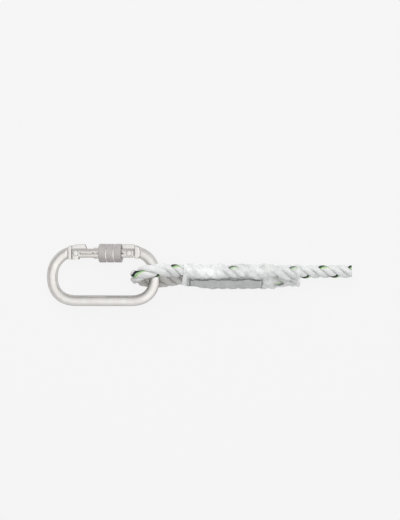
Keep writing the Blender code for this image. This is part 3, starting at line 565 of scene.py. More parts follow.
def join_tubes(name, tubes, period, worn=None):
    """Closed tubes as one piece, cut square at the rope's end. A tube is its rings, its
    first u, its columns for one unit of u, and its rings' spacing."""
    points, faces, uvs = [], [], []
    for rings, first_u, columns_in_u, spacing in tubes:
        count, columns = rings.shape[:2]
        faces += tube_faces(count, columns, sum(len(p) for p in points))
        points.append(rings.reshape(-1, 3))
        uvs.append(np.stack([np.tile(np.arange(columns) / columns_in_u + first_u, count),
                             np.repeat(np.arange(count) * spacing / MM, columns)], axis=1))
    mesh = mesh_of(name, np.concatenate(points), faces)
    if worn is not None:
        add_attribute(mesh, "worn", worn)
    layer = mesh.uv_layers.new(name="UVMap")
    index = np.zeros(len(mesh.loops), np.int32)
    mesh.loops.foreach_get("vertex_index", index)
    uv = unwrap_round(mesh, np.concatenate(uvs)[index].astype(np.float32), period)
    layer.data.foreach_set("uv", uv.ravel())
    shape = shape_of(mesh)
    cut = bmesh.ops.bisect_plane(shape, geom=shape.verts[:] + shape.edges[:] + shape.faces[:],
                                 plane_co=(HALF_LENGTH, 0, 0), plane_no=(1, 0, 0),
                                 clear_outer=True, dist=1e-7)
    edges = [item for item in cut["geom_cut"] if isinstance(item, bmesh.types.BMEdge)]
    bmesh.ops.holes_fill(shape, edges=edges, sides=0)
    bmesh.ops.recalc_face_normals(shape, faces=shape.faces)
    write_back(shape, mesh)
    return add_object(name, mesh)


def make_rope():
    tubes = [(strand_surface(strand), STRAND_UV_APART * k, YARN_SAMPLES, RING_STEP)
             for k, strand in enumerate(STRAND_LIST)]
    worn = [np.repeat(strand.worn, YARNS * YARN_SAMPLES) for strand in STRAND_LIST]
    return join_tubes("rope", tubes, YARNS, np.concatenate(worn))


def make_tracer(name, yarns):
    """Coloured yarns of the first strand: rounded tubes bedded in its skin, which sink into
    it on the eye's lower leg."""
    strand = STRAND_LIST[0]
    along = strand.line[:, 0] + HALF_LENGTH
    past_bend = (np.arange(len(along)) - along.argmin()) * RING_STEP / TRACER_SINK_LENGTH
    before_film = (FILM_START - along) / TRACER_SINK_LENGTH + 1
    sunk = np.clip(past_bend, 0, 1) * np.clip(before_film, 0, 1) * TRACER_SINK
    depth = (TRACER_HALF_HEIGHT + sunk)[:, None]
    tubes = []
    for place, width in yarns:
        angle = yarn_angle(strand, math.radians(place))
        spread = math.pi / YARNS * width
        centre = strand_skin(strand, angle, depth - TRACER_PROUD)[:, 0]
        edges = strand_skin(strand, angle + np.array([[-spread, spread]]), depth)
        middle = strand_skin(strand, angle, depth + TRACER_HALF_HEIGHT)[:, 0]
        rings = rings_round(centre, TRACER_HALF_HEIGHT * unit(centre - middle),
                            (edges[:, 1] - edges[:, 0]) / 2, even_turns(TRACER_SIDES))
        tubes.append((rings, 0, TRACER_SIDES, RING_STEP))
    return join_tubes(name, tubes, 1)


def tuck_line(start, stop):
    """The middle of one tucked strand, over the standing part from the gate's side."""
    share = np.linspace(0, 1, TUCK_STEPS)
    course = np.array(TUCK_COURSE) * MM
    x = start + (stop - start) * share - HALF_LENGTH
    bend = 0.5 - 0.5 * np.cos(math.pi * share)
    knots = np.linspace(0, 1, len(course))
    return np.column_stack([x, read_columns(0.5 * (share + bend), knots, course)])


def make_tucks():
    """Strands tucked across the standing part, with yarns as rounded ridges."""
    columns = TUCK_YARNS * YARN_SAMPLES
    thick = TUCK_RADIUS - YARN_DEPTH * yarn_sag(columns)
    ends = 1 - (2 * np.linspace(0, 1, TUCK_STEPS) - 1) ** TUCK_END_POWER
    ends = np.sqrt(np.clip(ends, TUCK_END_LEAST, 1))
    twist = TUCK_TWIST * np.arange(TUCK_STEPS)[:, None] + even_turns(columns)[None, :]
    tubes = []
    for start, stop in TUCKS:
        line = tuck_line(start, stop)
        for axis in (1, 2):
            line[:, axis] = smoothed(line[:, axis], TUCK_SMOOTHING)
        along = unit(np.gradient(line, axis=0))
        side = unit(np.cross(along, (0.0, 0.0, 1.0)))
        rings = rings_round(line, side, np.cross(side, along), twist,
                            thick[None, :] * ends[:, None])
        tubes.append((rings, 0, YARN_SAMPLES, TUCK_SPACING))
    return join_tubes("tucks", tubes, TUCK_YARNS)


# Film and label

def strand_points():
    """All strands' centre points and radii, for what is wrapped round them."""
    tucks = [tuck_line(start, stop) for start, stop in TUCKS]
    centres = [strand.line for strand in STRAND_LIST] + tucks
    radii = [STRAND_RADIUS * strand.taper for strand in STRAND_LIST]
    radii += [np.full(len(line), TUCK_RADIUS) for line in tucks]
    return np.concatenate(centres), np.concatenate(radii)


STRAND_CENTRES, STRAND_RADII = strand_points()


def support_at(x, outward):
    """How far the strands and the film's clearance reach in each direction, near one x."""
    reach = STRAND_RADII * FILM_STRETCH
    offset = np.abs(STRAND_CENTRES[:, 0] - x)
    near = offset < reach
    radii = STRAND_RADII[near] * np.sqrt(1 - (offset[near] / reach[near]) ** 2)
    return (STRAND_CENTRES[near, 1:] @ outward.T + radii[:, None]).max(0) + FILM_CLEARANCE


def section(x, samples=FILM_OUTLINE_STEPS):
    """The taut outline round all strands near one place along X, in even steps. Near the
    film's ends it keeps the outline of the places further in."""
    theta = even_turns(samples)
    outward = np.stack([np.cos(theta), np.sin(theta)], axis=1)
    inner = min(max(x, FILM_FROM + FILM_FLARE), FILM_TO - FILM_HOLD)
    support = np.maximum(support_at(x, outward), support_at(inner, outward))
    support = np.convolve(np.concatenate([support[-1:], support, support[:1]]), SOFTEN, "valid")
    slope = (np.roll(support, -1) - np.roll(support, 1)) / (4 * math.pi / samples)
    tangent = np.stack([-np.sin(theta), np.cos(theta)], axis=1)
    points = support[:, None] * outward + slope[:, None] * tangent
    closed = np.concatenate([points, points[:1]])
    lengths = distances_along(closed)
    return read_columns(np.linspace(0, lengths[-1], FILM_SIDES, endpoint=False), lengths, closed)


def round_corner(x, ring):
    """Pulls the side away from the gate in near the film's ends, to a rounded corner."""
    missing = 0.0
    for distance, corner in ((x - FILM_FROM, FILM_CORNER), (FILM_TO - x, FILM_CORNER / 4)):
        share = min(max(1 - distance / corner, 0.0), 1.0)
        missing += corner * (1 - math.sqrt(1 - share ** 2))
    depth = np.clip((ring[:, 0] - ring[:, 0].min()) / FILM_CORNER_DEPTH, 0, 1)
    ring[:, 0] += missing * (1 - depth) ** 0.7
    return ring


def gap_below(points):
    """How far each point stands above the nearest strand."""
    near = np.abs(STRAND_CENTRES[:, 0] - points[0, 0]) < FILM_SEARCH
    away = np.linalg.norm(points[:, None, :] - STRAND_CENTRES[None, near, :], axis=2)
    return (away - STRAND_RADII[near]).min(1)


def label_share(x, ring):
    """How fully each point of one ring of the film lies over the label."""
    turn = np.degrees(np.arctan2(ring[:, 1] - LEG_Z, ring[:, 0] - LEG_Y)) % 360
    x = x + HALF_LENGTH
    within = min(x - LABEL_START, LABEL_END - x) / LABEL_FADE + 1
    beside = np.minimum((turn - LABEL_TOP) / LABEL_FADE_TURN + LABEL_FADE_TOP,
                        (LABEL_BOTTOM - turn) / LABEL_FADE_TURN) + 1
    return np.clip(within, 0, 1) * np.clip(beside, 0, 1)


def waviness(place, stretch, shift):
    return noise.noise(Vector(stretch) * place + Vector(shift))


def folds_at(place):
    """How far folds and swells push the film out at a place."""
    push = 0.0
    for height, stretch, shift in FOLDS:
        crest = 1 - abs(waviness(place, stretch, shift)) * CREASE_SHARPNESS
        push += height * max(crest, 0.0) ** 2
    height, stretch, shift = SWELLS
    return push + height * max(waviness(place, stretch, shift) + SWELL_MORE, 0.0)


def film_rows():
    """The film's inner surface as rings of points: it sinks into the valleys, is rounded off
    and drawn out at its ends, creases, and lies flat over the label."""
    rows, flat = [], []
    for x in np.linspace(FILM_FROM, FILM_TO, FILM_STATIONS):
        ring = round_corner(x, section(x))
        row = np.column_stack([np.full(len(ring), x), ring])
        gaps = gap_below(row) - FILM_CLEARANCE
        end_share = min((x - FILM_FROM) / FILM_FLARE, (FILM_TO - x) / FILM_HOLD, 1.0)
        covered = label_share(x, ring)
        sink = np.clip(FILM_SINK * gaps, 0, FILM_SINK_MOST) * max(end_share, 0.0)
        sink *= 1 - SINK_OVER_LABEL * covered
        row[:, 1:] += unit(row[:, 1:].mean(0) - row[:, 1:]) * sink[:, None]
        lobe = np.clip((ring[:, 0].mean() - ring[:, 0]) / FILM_LOBE_DEPTH, 0, 1)
        row[:, 0] -= FILM_LOBE * lobe * max(1 - (x - FILM_FROM) / (3 * FILM_LOBE), 0.0) ** 2
        rows.append(row)
        flat.append(covered)
    rows, flat = np.array(rows), np.array(flat)
    for axis in (0, 1):
        moved = sum(k * np.roll(rows, shift, axis) for k, shift in zip(SOFTEN, (-1, 0, 1)))
        if axis == 0:
            moved[0], moved[-1] = rows[0], rows[-1]
        rows = moved
    away = unit(rows[:, :, 1:] - rows[:, :, 1:].mean(1, keepdims=True))
    for i, j in np.ndindex(rows.shape[:2]):
        push = folds_at(Vector(rows[i, j]) / CREASE_CELL)
        rows[i, j, 1:] += away[i, j] * push * (1 - FOLDS_OVER_LABEL * flat[i, j])
    return rows, flat


def lift_off(rows, flat, pieces):
    """Moves the film's points out wherever a strand, tuck or tracer would come through it."""
    graph = bpy.context.evaluated_depsgraph_get()
    trees = [BVHTree.FromObject(piece, graph) for piece in pieces]
    middles = rows[:, :, 1:].mean(1)
    away = rows[:, :, 1:] - middles[:, None, :]
    lengths = np.linalg.norm(away, axis=2)
    away = unit(away)
    lifts = np.zeros(lengths.shape)
    for i, j in np.ndindex(lengths.shape):
        start = Vector((rows[i, j, 0], *(middles[i] + away[i, j] * FILM_SEARCH)))
        inward = Vector((0.0, *-away[i, j]))
        hits = [tree.ray_cast(start, inward, FILM_SEARCH)[3] for tree in trees]
        reach = FILM_SEARCH - min([hit for hit in hits if hit is not None], default=FILM_SEARCH)
        least = FILM_ABOVE[0] + FILM_ABOVE[1] * flat[i, j]
        lifts[i, j] = max(reach + least - lengths[i, j], 0.0)
    beside = np.maximum(np.roll(lifts, 1, 1), np.roll(lifts, -1, 1))
    lifts = np.maximum(lifts, beside * FILM_LIFT_BESIDE)
    rows[:, :, 1:] += away * lifts[:, :, None]
    return rows


def make_film(rows, flat):
    mesh = mesh_of("film", rows.reshape(-1, 3), tube_faces(FILM_STATIONS, FILM_SIDES)[:-2])
    along = rows[:, :, 0]
    inside = np.minimum((along - FILM_FROM) / FILM_FLARE, (FILM_TO - along) / FILM_HOLD)
    milk = (1 + (FILM_END_MILK - 1) * (1 - np.clip(inside, 0, 1))) * (1 - flat)
    for middle, half, more in FILM_CLOUDS:
        milk *= 1 + more * np.exp(-((along + HALF_LENGTH - middle) / half) ** 4)
    add_attribute(mesh, "milk", milk)
    shape = shape_of(mesh)
    bmesh.ops.recalc_face_normals(shape, faces=shape.faces)
    bmesh.ops.reverse_faces(shape, faces=shape.faces)
    write_back(shape, mesh)
    film = add_object("film", mesh)
    add_thickness(film, FILM_THICKNESS, 1.0, inner_material=1)
    return film


def make_label(rows):
    """The label, a little below the film's inner surface, with an uneven upper edge."""
    places = rows[:, FILM_SIDES // 2, 0] + HALF_LENGTH
    points, uvs = [], []
    chosen = [i for i in range(FILM_STATIONS) if LABEL_START <= places[i] <= LABEL_END]
    for i in chosen:
        ring = rows[i, :, 1:]
        x = rows[i, :, 0].max()
        ring = ring + unit(ring.mean(0) - ring) * LABEL_BELOW_FILM
        angle = np.arctan2(ring[:, 1] - LEG_Z, ring[:, 0] - LEG_Y) % (2 * math.pi)
        order = np.argsort(angle)
        wave = sum(turn * noise.noise(Vector((x / length, place, 3.0)))
                   for turn, length, place in LABEL_WAVES)
        turns = np.linspace(math.radians(LABEL_TOP + wave), math.radians(LABEL_BOTTOM),
                            LABEL_COLUMNS)
        row = read_columns(turns, angle[order], ring[order])
        points += [(x, float(y), float(z)) for y, z in row]
        along = (places[i] - places[chosen[0]]) / MM * LABEL_ENDS
        uvs += [(along, float(down) / MM) for down in distances_along(row)]
    faces = [(i * LABEL_COLUMNS + j, i * LABEL_COLUMNS + j + 1, (i + 1) * LABEL_COLUMNS + j + 1,
              (i + 1) * LABEL_COLUMNS + j)
             for i in range(len(chosen) - 1) for j in range(LABEL_COLUMNS - 1)]
    mesh = mesh_of("label", points, faces)
    layer = mesh.uv_layers.new(name="UVMap")
    for loop in mesh.loops:
        layer.data[loop.index].uv = uvs[loop.vertex_index]
    smooth(mesh)
    label = add_object("label", mesh)
    add_thickness(label, LABEL_THICKNESS, -1.0)
    return label


# Carabiner

CARABINER_LENGTH = 109.0 * MM
RING_WIDTH = 57.2 * MM
RING_END_LENGTH = 29.1 * MM
RING_MIDDLE_Y = -1.5 * MM
EYE_BAR_HEIGHT = 17.8 * MM
BAR_RADIUS = 5.0 * MM
BAR_SIDES = 48
RING_END_POINTS = 72
LATCH_FULLNESS = 2.0
HINGE_FULLNESS = 2.2
SPINE_FULLNESS = 2.4
GATE_AXIS_Y = RING_WIDTH / 2 - BAR_RADIUS - 2.0 * MM
GATE_RADIUS = 5.1 * MM
GATE_SIDES = 72
HINGE_X = BAR_RADIUS - 29.2 * MM
BAR_TO_BAR = CARABINER_LENGTH - 2 * BAR_RADIUS
LATCH_X = 28.4 * MM - BAR_RADIUS - BAR_TO_BAR
SPACING = HINGE_X - LATCH_X
PAST_HINGE = 4.7 * MM
PAST_LATCH = 3.2 * MM
PAD_GAP = 0.6 * MM
PAD_LENGTH = 3.0 * MM
PAD_HALF = 5.15 * MM
PAD_FOOT = 1.5 * MM
PAD_FOOT_RISE = 0.75 * MM
PAD_ROUND = 0.9 * MM
PLATE_ROUND = 0.5 * MM
CHEEK_ROUND = 0.45 * MM
ROUNDED_FROM = 35.0
SHARP_FROM = 32.0
WELD = 0.002 * MM
HINGE_PAD_X = HINGE_X + PAST_HINGE + PAD_GAP
LATCH_PAD_X = LATCH_X - PAST_LATCH - PAD_GAP
HINGE_PAD_DEPTH = 5.0 * MM
TONGUE_HALF = 2.3 * MM
SLOT_HALF = 2.7 * MM
SLOT_WALL = 1.5 * MM
CHEEK_DEPTH = 5.9 * MM
CHEEK_LENGTH = 5.9 * MM
HINGE_SLOT_REACH = 8.6 * MM
NOSE_REACH = 15.8 * MM
NOSE_SLOT_END = LATCH_X + NOSE_REACH + 1.2 * MM - HINGE_X
NOTCH_RADIUS = 2.3 * MM
SCOOP_RADIUS = 2.2 * MM
SCOOP_DEPTH = 0.8 * MM
SCOOP_SIDES = 40
RIVET_RADIUS = 1.6 * MM
PIN_RADIUS = 1.75 * MM
HEAD_RADIUS = 2.5 * MM
HEAD_DOME_SHARE = 0.9
HEAD_DOME_STEPS = 6
HEAD_HEIGHT = 0.9 * MM
HEAD_DOME = 0.25 * MM
HEAD_RIM = 0.2 * MM
HEAD_SHOULDER = 0.36 * MM
HEAD_SLOPE = 0.03 * MM
HEAD_SIDES = 48
HOLE_RADIUS = 1.9 * MM
LATCH_HOLE_RADIUS = 2.05 * MM
HOLE_SIDES = 32
SPOTFACE_DEPTH = 1.1 * MM
PLAY = 0.3 * MM
OVERRUN = 2.0 * MM
SEAM_HALF = 0.45 * MM
SEAM_GROOVE_HALF = 1.6 * MM
SEAM_GROOVE_DEPTH = 0.8 * MM
SEAM_INSET = HEAD_RADIUS + PLAY + 1.3 * MM
SLEEVE_RADIUS = 8.85 * MM
SLEEVE_LENGTH = 21.7 * MM
SLEEVE_FROM_HINGE = 7.3 * MM
SLEEVE_MIDDLE = -SLEEVE_FROM_HINGE - SLEEVE_LENGTH / 2
SLEEVE_BORE = 5.2 * MM
SLEEVE_BORE_ROUND = 0.15 * MM
SLEEVE_GROOVE_HALF = 0.55 * MM
SLEEVE_GROOVE_DEPTH = 0.6 * MM
SLEEVE_GROOVE_SLOPE = 0.05 * MM
SLEEVE_ROUND = 0.5 * MM
SLEEVE_END_ROUND = 0.9 * MM
SLEEVE_RIBS = 3
SLEEVE_SIDES = 96
SPRING_SEAT = NOSE_SLOT_END + 3.3 * MM
SPRING_BORE = 2.6 * MM
SPRING_COILS = 10
SPRING_PLAY = 0.05 * MM
SPRING_END_PITCH = 0.42
COIL_RADIUS = 1.8 * MM
COIL_STEPS = 24
WIRE_RADIUS = 0.3 * MM
WIRE_SIDES = 10
PLUNGER_BACK = 9.2 * MM

# Outlines in millimetres, along the gate and outwards. The pads' backs start at a pad's
# inner face, the tongue at the hinge's axis, and the nose at the pin's axis.
PAD_BACK = ((4.5, 5.3), (3.0, 6.3), (1.5, 7.05), (0.0, 7.4))
TONGUE = ((-6.9, -4.0), (6.8, -4.0), (6.8, 6.6), (5.3, 7.4), (3.7, 8.1), (1.6, 8.45),
          (0.0, 8.5), (-5.9, 8.5), (-6.6, 8.2), (-6.9, 7.5))
NOSE_BEFORE_NOTCH = ((-5.3, -5.2), (-3.1, -5.2), (-2.3, -4.4))
NOSE_AFTER_NOTCH = ((2.3, -2.8), (3.1, -3.6), (14.6, -3.6), (15.38, -3.18), (15.8, -2.4),
                    (15.8, 2.4), (15.38, 3.18), (14.6, 3.6), (9.7, 3.6), (9.7, 5.1),
                    (8.8, 7.7), (8.2, 8.4), (7.5, 8.5), (1.4, 8.45), (-0.8, 8.1),
                    (-2.4, 7.65), (-3.8, 7.2), (-5.3, 6.4))

TILT = math.asin((EYE_BAR_HEIGHT - BAR_RADIUS) / BAR_TO_BAR)
EYE_BAR_X = BAR_RADIUS + BAR_TO_BAR * math.cos(TILT) - HALF_LENGTH
RING_FRAME = (Matrix.Translation((EYE_BAR_X, RING_MIDDLE_Y, EYE_BAR_HEIGHT))
              @ Matrix.Rotation(-TILT, 4, "Y"))
GATE_FRAME = RING_FRAME @ Matrix.Translation((HINGE_X, GATE_AXIS_Y, 0))
GATE_DIRECTION = GATE_FRAME.to_3x3() @ Vector((1, 0, 0))
HELPERS = []


def helper(name, mesh, matrix):
    """A hidden solid that is joined to another or cut from it."""
    made = add_object(name, mesh)
    made.matrix_world = matrix
    HELPERS.append(made)
    return made


def from_shape(name, shape):
    bmesh.ops.recalc_face_normals(shape, faces=shape.faces)
    mesh = bpy.data.meshes.new(name)
    shape.to_mesh(mesh)
    shape.free()
    return mesh


def turn_to_x(shape):
    bmesh.ops.rotate(shape, verts=shape.verts, matrix=Matrix.Rotation(math.pi / 2, 3, "Y"))


def round_edges(made, width, segments):
    bevel = made.modifiers.new("rounded", "BEVEL")
    bevel.width = width
    bevel.segments = segments
    bevel.limit_method = "ANGLE"
    bevel.angle_limit = math.radians(ROUNDED_FROM)
    return made


def pushed(name, points, push, matrix=GATE_FRAME):
    """A solid from a flat outline of points, pushed along a vector."""
    shape = bmesh.new()
    face = shape.faces.new([shape.verts.new(point) for point in points])
    result = bmesh.ops.extrude_face_region(shape, geom=[face])
    moved = [item for item in result["geom"] if isinstance(item, bmesh.types.BMVert)]
    bmesh.ops.translate(shape, vec=push, verts=moved)
    return helper(name, from_shape(name, shape), matrix)


def plate(name, outline, half, matrix=GATE_FRAME):
    """A flat plate across Z from an outline in X and Y."""
    return pushed(name, [(x, y, -half) for x, y in outline], (0, 0, 2 * half), matrix)


def block(name, low, high, half):
    return plate(name, [low, (high[0], low[1]), high, (low[0], high[1])], half)


def rod(name, radius, start, stop, matrix=GATE_FRAME, axis="X", sides=GATE_SIDES):
    """A round rod along X, or along Z, between two places."""
    shape = bmesh.new()
    bmesh.ops.create_cone(shape, cap_ends=True, segments=sides, radius1=radius,
                          radius2=radius, depth=stop - start)
    bmesh.ops.translate(shape, vec=(0, 0, (start + stop) / 2), verts=shape.verts)
    if axis == "X":
        turn_to_x(shape)
    return helper(name, from_shape(name, shape), matrix)


def lathe(name, profile, steps, axis="Z"):
    """A turned mesh about Z or X from radius and height pairs, on the axis or closed."""
    turns = [2 * math.pi * k / steps for k in range(steps)]
    shape = bmesh.new()
    rings = [[shape.verts.new((r * math.cos(t), r * math.sin(t), h)) for t in turns]
             for r, h in profile]
    if profile[0][0] > 0:
        rings.append(rings[0])
    for first, second in zip(rings, rings[1:]):
        for k in range(steps):
            after = (k + 1) % steps
            shape.faces.new((first[k], first[after], second[after], second[k]))
    bmesh.ops.remove_doubles(shape, verts=shape.verts, dist=WELD / 2)
    if axis == "X":
        turn_to_x(shape)
    return from_shape(name, shape)


def combine(target, other, operation):
    modifier = target.modifiers.new(other.name, "BOOLEAN")
    modifier.operation = operation
    modifier.solver = "EXACT"
    modifier.object = other


def settle(name, made):
    """The finished mesh of a helper as a piece of its own at the scene's origin."""
    bpy.context.view_layer.update()
    graph = bpy.context.evaluated_depsgraph_get()
    mesh = bpy.data.meshes.new_from_object(made.evaluated_get(graph))
    mesh.transform(made.matrix_world)
    mesh.name = name
    shape = shape_of(mesh)
    bmesh.ops.remove_doubles(shape, verts=shape.verts, dist=WELD)
    bmesh.ops.dissolve_degenerate(shape, edges=shape.edges, dist=WELD)
    write_back(shape, mesh)
    mesh.set_sharp_from_angle(angle=math.radians(SHARP_FROM))
    while HELPERS:
        bpy.data.objects.remove(HELPERS.pop(), do_unlink=True)
    return add_object(name, mesh)


def oval_point(turn, half_length, half_width, fullness):
    return tuple(math.copysign(abs(share) ** (2 / fullness), share) * half for share, half in
                 ((math.cos(turn), half_length), (math.sin(turn), half_width)))


def ring_line():
    """The bar's centre line, from inside the latch pad round the spine to the hinge pad."""
    half_length = RING_END_LENGTH - BAR_RADIUS
    half_width = RING_WIDTH / 2 - BAR_RADIUS
    far_x, near_x = half_length - BAR_TO_BAR, -half_length
    latch_share = (LATCH_PAD_X - PAD_LENGTH / 2 - far_x) / half_length
    hinge_share = (HINGE_PAD_X + PAD_LENGTH / 2 - near_x) / half_length
    points = []
    for start, stop, middle, fullness in (
            (math.acos(latch_share), 1.5 * math.pi, far_x, LATCH_FULLNESS),
            (-math.pi / 2, math.acos(hinge_share ** (HINGE_FULLNESS / 2)), near_x,
             HINGE_FULLNESS)):
        for turn in np.linspace(start, stop, RING_END_POINTS + 1):
            gate_side = math.sin(turn) > 0
            x, y = oval_point(turn, half_length, half_width,
                              fullness if gate_side else SPINE_FULLNESS)
            points.append((middle + x, y))
    return np.array(points)


def bar_mesh(name):
    line = np.column_stack([ring_line(), np.zeros(2 * RING_END_POINTS + 2)])
    side = np.cross(unit(np.gradient(line, axis=0)), (0.0, 0.0, 1.0))
    up = np.broadcast_to((0.0, 0.0, 1.0), line.shape)
    rings = rings_round(line, side, up, even_turns(BAR_SIDES), BAR_RADIUS)
    return from_shape(name, shape_of(mesh_of(name, rings.reshape(-1, 3),
                                             tube_faces(len(line), BAR_SIDES))))


def quarter_turn(steps):
    return [math.pi / 2 * k / steps for k in range(steps + 1)]


def from_table(table):
    return [(x * MM, y * MM) for x, y in table]


def ring_plate(name, outline, at_x, side, half):
    """A plate of the ring's, from an outline along the gate from one place, and outwards."""
    placed = [(at_x + side * x, GATE_AXIS_Y + y) for x, y in outline]
    return plate(name, placed, half, RING_FRAME)


def make_ring():
    """The forged ring: its bar, the two pads, the hinge tongue and the hooked nose."""
    ring = helper("ring", bar_mesh("ring"), RING_FRAME)
    for side, at_x, depth in ((1, HINGE_PAD_X, HINGE_PAD_DEPTH),
                              (-1, LATCH_PAD_X, CHEEK_DEPTH)):
        outline = [(0.0, -depth), (PAD_LENGTH, -depth),
                   (PAD_LENGTH + PAD_FOOT, PAD_FOOT_RISE - depth)] + from_table(PAD_BACK)
        pad = ring_plate("pad", outline, at_x, side, PAD_HALF)
        combine(ring, round_edges(pad, PAD_ROUND, 4), "UNION")
    tongue = ring_plate("hinge_tongue", from_table(TONGUE), HINGE_X, 1, TONGUE_HALF)
    combine(ring, round_edges(tongue, PLATE_ROUND, 3), "UNION")
    hole = rod("hinge_hole", HOLE_RADIUS, -2 * PAD_HALF, 2 * PAD_HALF, GATE_FRAME, "Z",
               HOLE_SIDES)
    combine(ring, hole, "DIFFERENCE")
    combine(ring, make_nose(), "UNION")
    for side, pad_x in ((1, HINGE_PAD_X), (-1, LATCH_PAD_X)):
        for face in (1, -1):
            x = pad_x + side * (PAD_LENGTH + SCOOP_RADIUS - SCOOP_DEPTH / 2)
            z = face * (BAR_RADIUS - SCOOP_DEPTH + SCOOP_RADIUS)
            place = Matrix.Translation((x, GATE_AXIS_Y, z)) @ Matrix.Rotation(math.pi / 2, 4, "Z")
            scoop = rod("scoop", SCOOP_RADIUS, -RING_END_LENGTH, RING_END_LENGTH,
                        RING_FRAME @ place, sides=SCOOP_SIDES)
            combine(ring, scoop, "DIFFERENCE")
    return settle("ring", ring)


def make_nose():
    """The nose: a lip, a notch that catches the pin, and a tooth inside the gate's slot."""
    notch = [(NOTCH_RADIUS * math.cos(t), NOTCH_RADIUS * math.sin(t))
             for t in np.linspace(math.pi, 0, 17)]
    outline = from_table(NOSE_BEFORE_NOTCH) + notch + from_table(NOSE_AFTER_NOTCH)
    return round_edges(ring_plate("nose", outline, LATCH_X, 1, TONGUE_HALF), PLATE_ROUND, 3)


def make_gate():
    """The gate: round, slotted at both ends, bored for its spring, with an open seam."""
    left, right = -SPACING - PAST_LATCH, PAST_HINGE
    gate = rod("gate_shell", GATE_RADIUS, left, right)
    cheek = block("cheek", (left, -CHEEK_DEPTH), (left + CHEEK_LENGTH, 0), SLOT_HALF + SLOT_WALL)
    combine(gate, round_edges(cheek, CHEEK_ROUND, 3), "UNION")
    reach = CHEEK_DEPTH + OVERRUN
    corner = [(right * math.sin(t), -GATE_RADIUS * math.cos(t)) for t in quarter_turn(16)]
    corner += [(right + OVERRUN, 0), (right + OVERRUN, -reach), (0, -reach)]
    cutters = [
        block("latch_slot", (left - OVERRUN, -reach), (NOSE_SLOT_END, reach), SLOT_HALF),
        block("hinge_slot", (-HINGE_SLOT_REACH, -reach), (right + OVERRUN, reach), SLOT_HALF),
        rod("bore", SPRING_BORE, SPRING_SEAT, OVERRUN - HINGE_SLOT_REACH),
        plate("end_rounding", corner, 2 * PAD_HALF),
    ]
    for at_x, radius in ((0.0, HOLE_RADIUS), (-SPACING, LATCH_HOLE_RADIUS)):
        place = GATE_FRAME @ Matrix.Translation((at_x, 0, 0))
        cutters.append(rod("hole", radius, -2 * PAD_HALF, 2 * PAD_HALF, place, "Z", HOLE_SIDES))
        for face in (1, -1):
            seat = face * (GATE_RADIUS - SPOTFACE_DEPTH)
            ends = sorted((seat, seat + face * 3 * SPOTFACE_DEPTH))
            cutters.append(rod("spotface", HEAD_RADIUS + PLAY, *ends, place, "Z", HEAD_SIDES))
    cutters.append(make_seam())
    for cutter in cutters:
        combine(gate, cutter, "DIFFERENCE")
    return settle("gate_shell", gate)


def make_seam():
    """The gate's open seam: a slit between rolled shoulders."""
    start, stop = -SPACING + SEAM_INSET, -SEAM_INSET
    shoulder = GATE_RADIUS - SEAM_GROOVE_DEPTH
    roll = [(SEAM_HALF + (SEAM_GROOVE_HALF - SEAM_HALF) * math.sin(t),
             shoulder + SEAM_GROOVE_DEPTH * (1 - math.cos(t))) for t in quarter_turn(5)]
    half = [(SEAM_HALF, SLOT_HALF / 2)] + roll + [(SEAM_GROOVE_HALF, 2 * GATE_RADIUS)]
    profile = half + [(-y, z) for y, z in reversed(half)]
    return pushed("seam", [(start, y, z) for y, z in profile], (stop - start, 0, 0))


def make_rivet(name, radius, at_x):
    """A rivet across the gate with domed heads and a softened rim."""
    seat = GATE_RADIUS - SPOTFACE_DEPTH + PLAY
    top, steps = seat + HEAD_HEIGHT, HEAD_DOME_STEPS
    half = [(HEAD_RADIUS * HEAD_DOME_SHARE * k / steps, top - HEAD_DOME * (k / steps) ** 2)
            for k in range(steps + 1)]
    half += [(HEAD_RADIUS - HEAD_SLOPE, top - HEAD_SHOULDER),
             (HEAD_RADIUS, top - HEAD_SHOULDER - HEAD_RIM), (HEAD_RADIUS, seat), (radius, seat)]
    profile = half + [(r, -h) for r, h in reversed(half)]
    return settle(name, helper(name, lathe(name, profile, HEAD_SIDES),
                               GATE_FRAME @ Matrix.Translation((at_x, 0, 0))))


def make_spring():
    """The gate spring: a coil with a closed turn at each end, from its seat to the plunger's
    back.
    """
    seat = SPRING_SEAT
    start, stop = seat + SPRING_PLAY, -PLUNGER_BACK - SPRING_PLAY
    share = np.linspace(0, 1, SPRING_COILS * COIL_STEPS + 1)
    ends = np.minimum(share, 1 - share) * SPRING_COILS < 1.0
    pitch = np.where(ends, SPRING_END_PITCH, 1.0)
    rise = np.concatenate([[0], np.cumsum((pitch[1:] + pitch[:-1]) / 2)])
    x = start + WIRE_RADIUS + (stop - start - 2 * WIRE_RADIUS) * rise / rise[-1]
    turn = 2 * math.pi * SPRING_COILS * share
    out = np.column_stack([np.zeros(len(turn)), np.cos(turn), np.sin(turn)])
    line = COIL_RADIUS * out
    line[:, 0] = x
    along = unit(np.gradient(line, axis=0))
    out = square_to(along, out)
    rings = rings_round(line, out, np.cross(along, out), even_turns(WIRE_SIDES), WIRE_RADIUS)
    mesh = mesh_of("coil_spring", rings.reshape(-1, 3), tube_faces(len(line), WIRE_SIDES))
    mesh.transform(GATE_FRAME)
    smooth(mesh)
    spring = add_object("coil_spring", mesh)
    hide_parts("gate_spring")
    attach(spring, "gate")
    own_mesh(spring)
    return spring


def rounded_rim(height, size):
    """Points that round a rim of the sleeve, from its end face to its side."""
    return [(SLEEVE_RADIUS - size * (1 - math.sin(t)), height - size * (1 - math.cos(t)))
            for t in quarter_turn(4)]


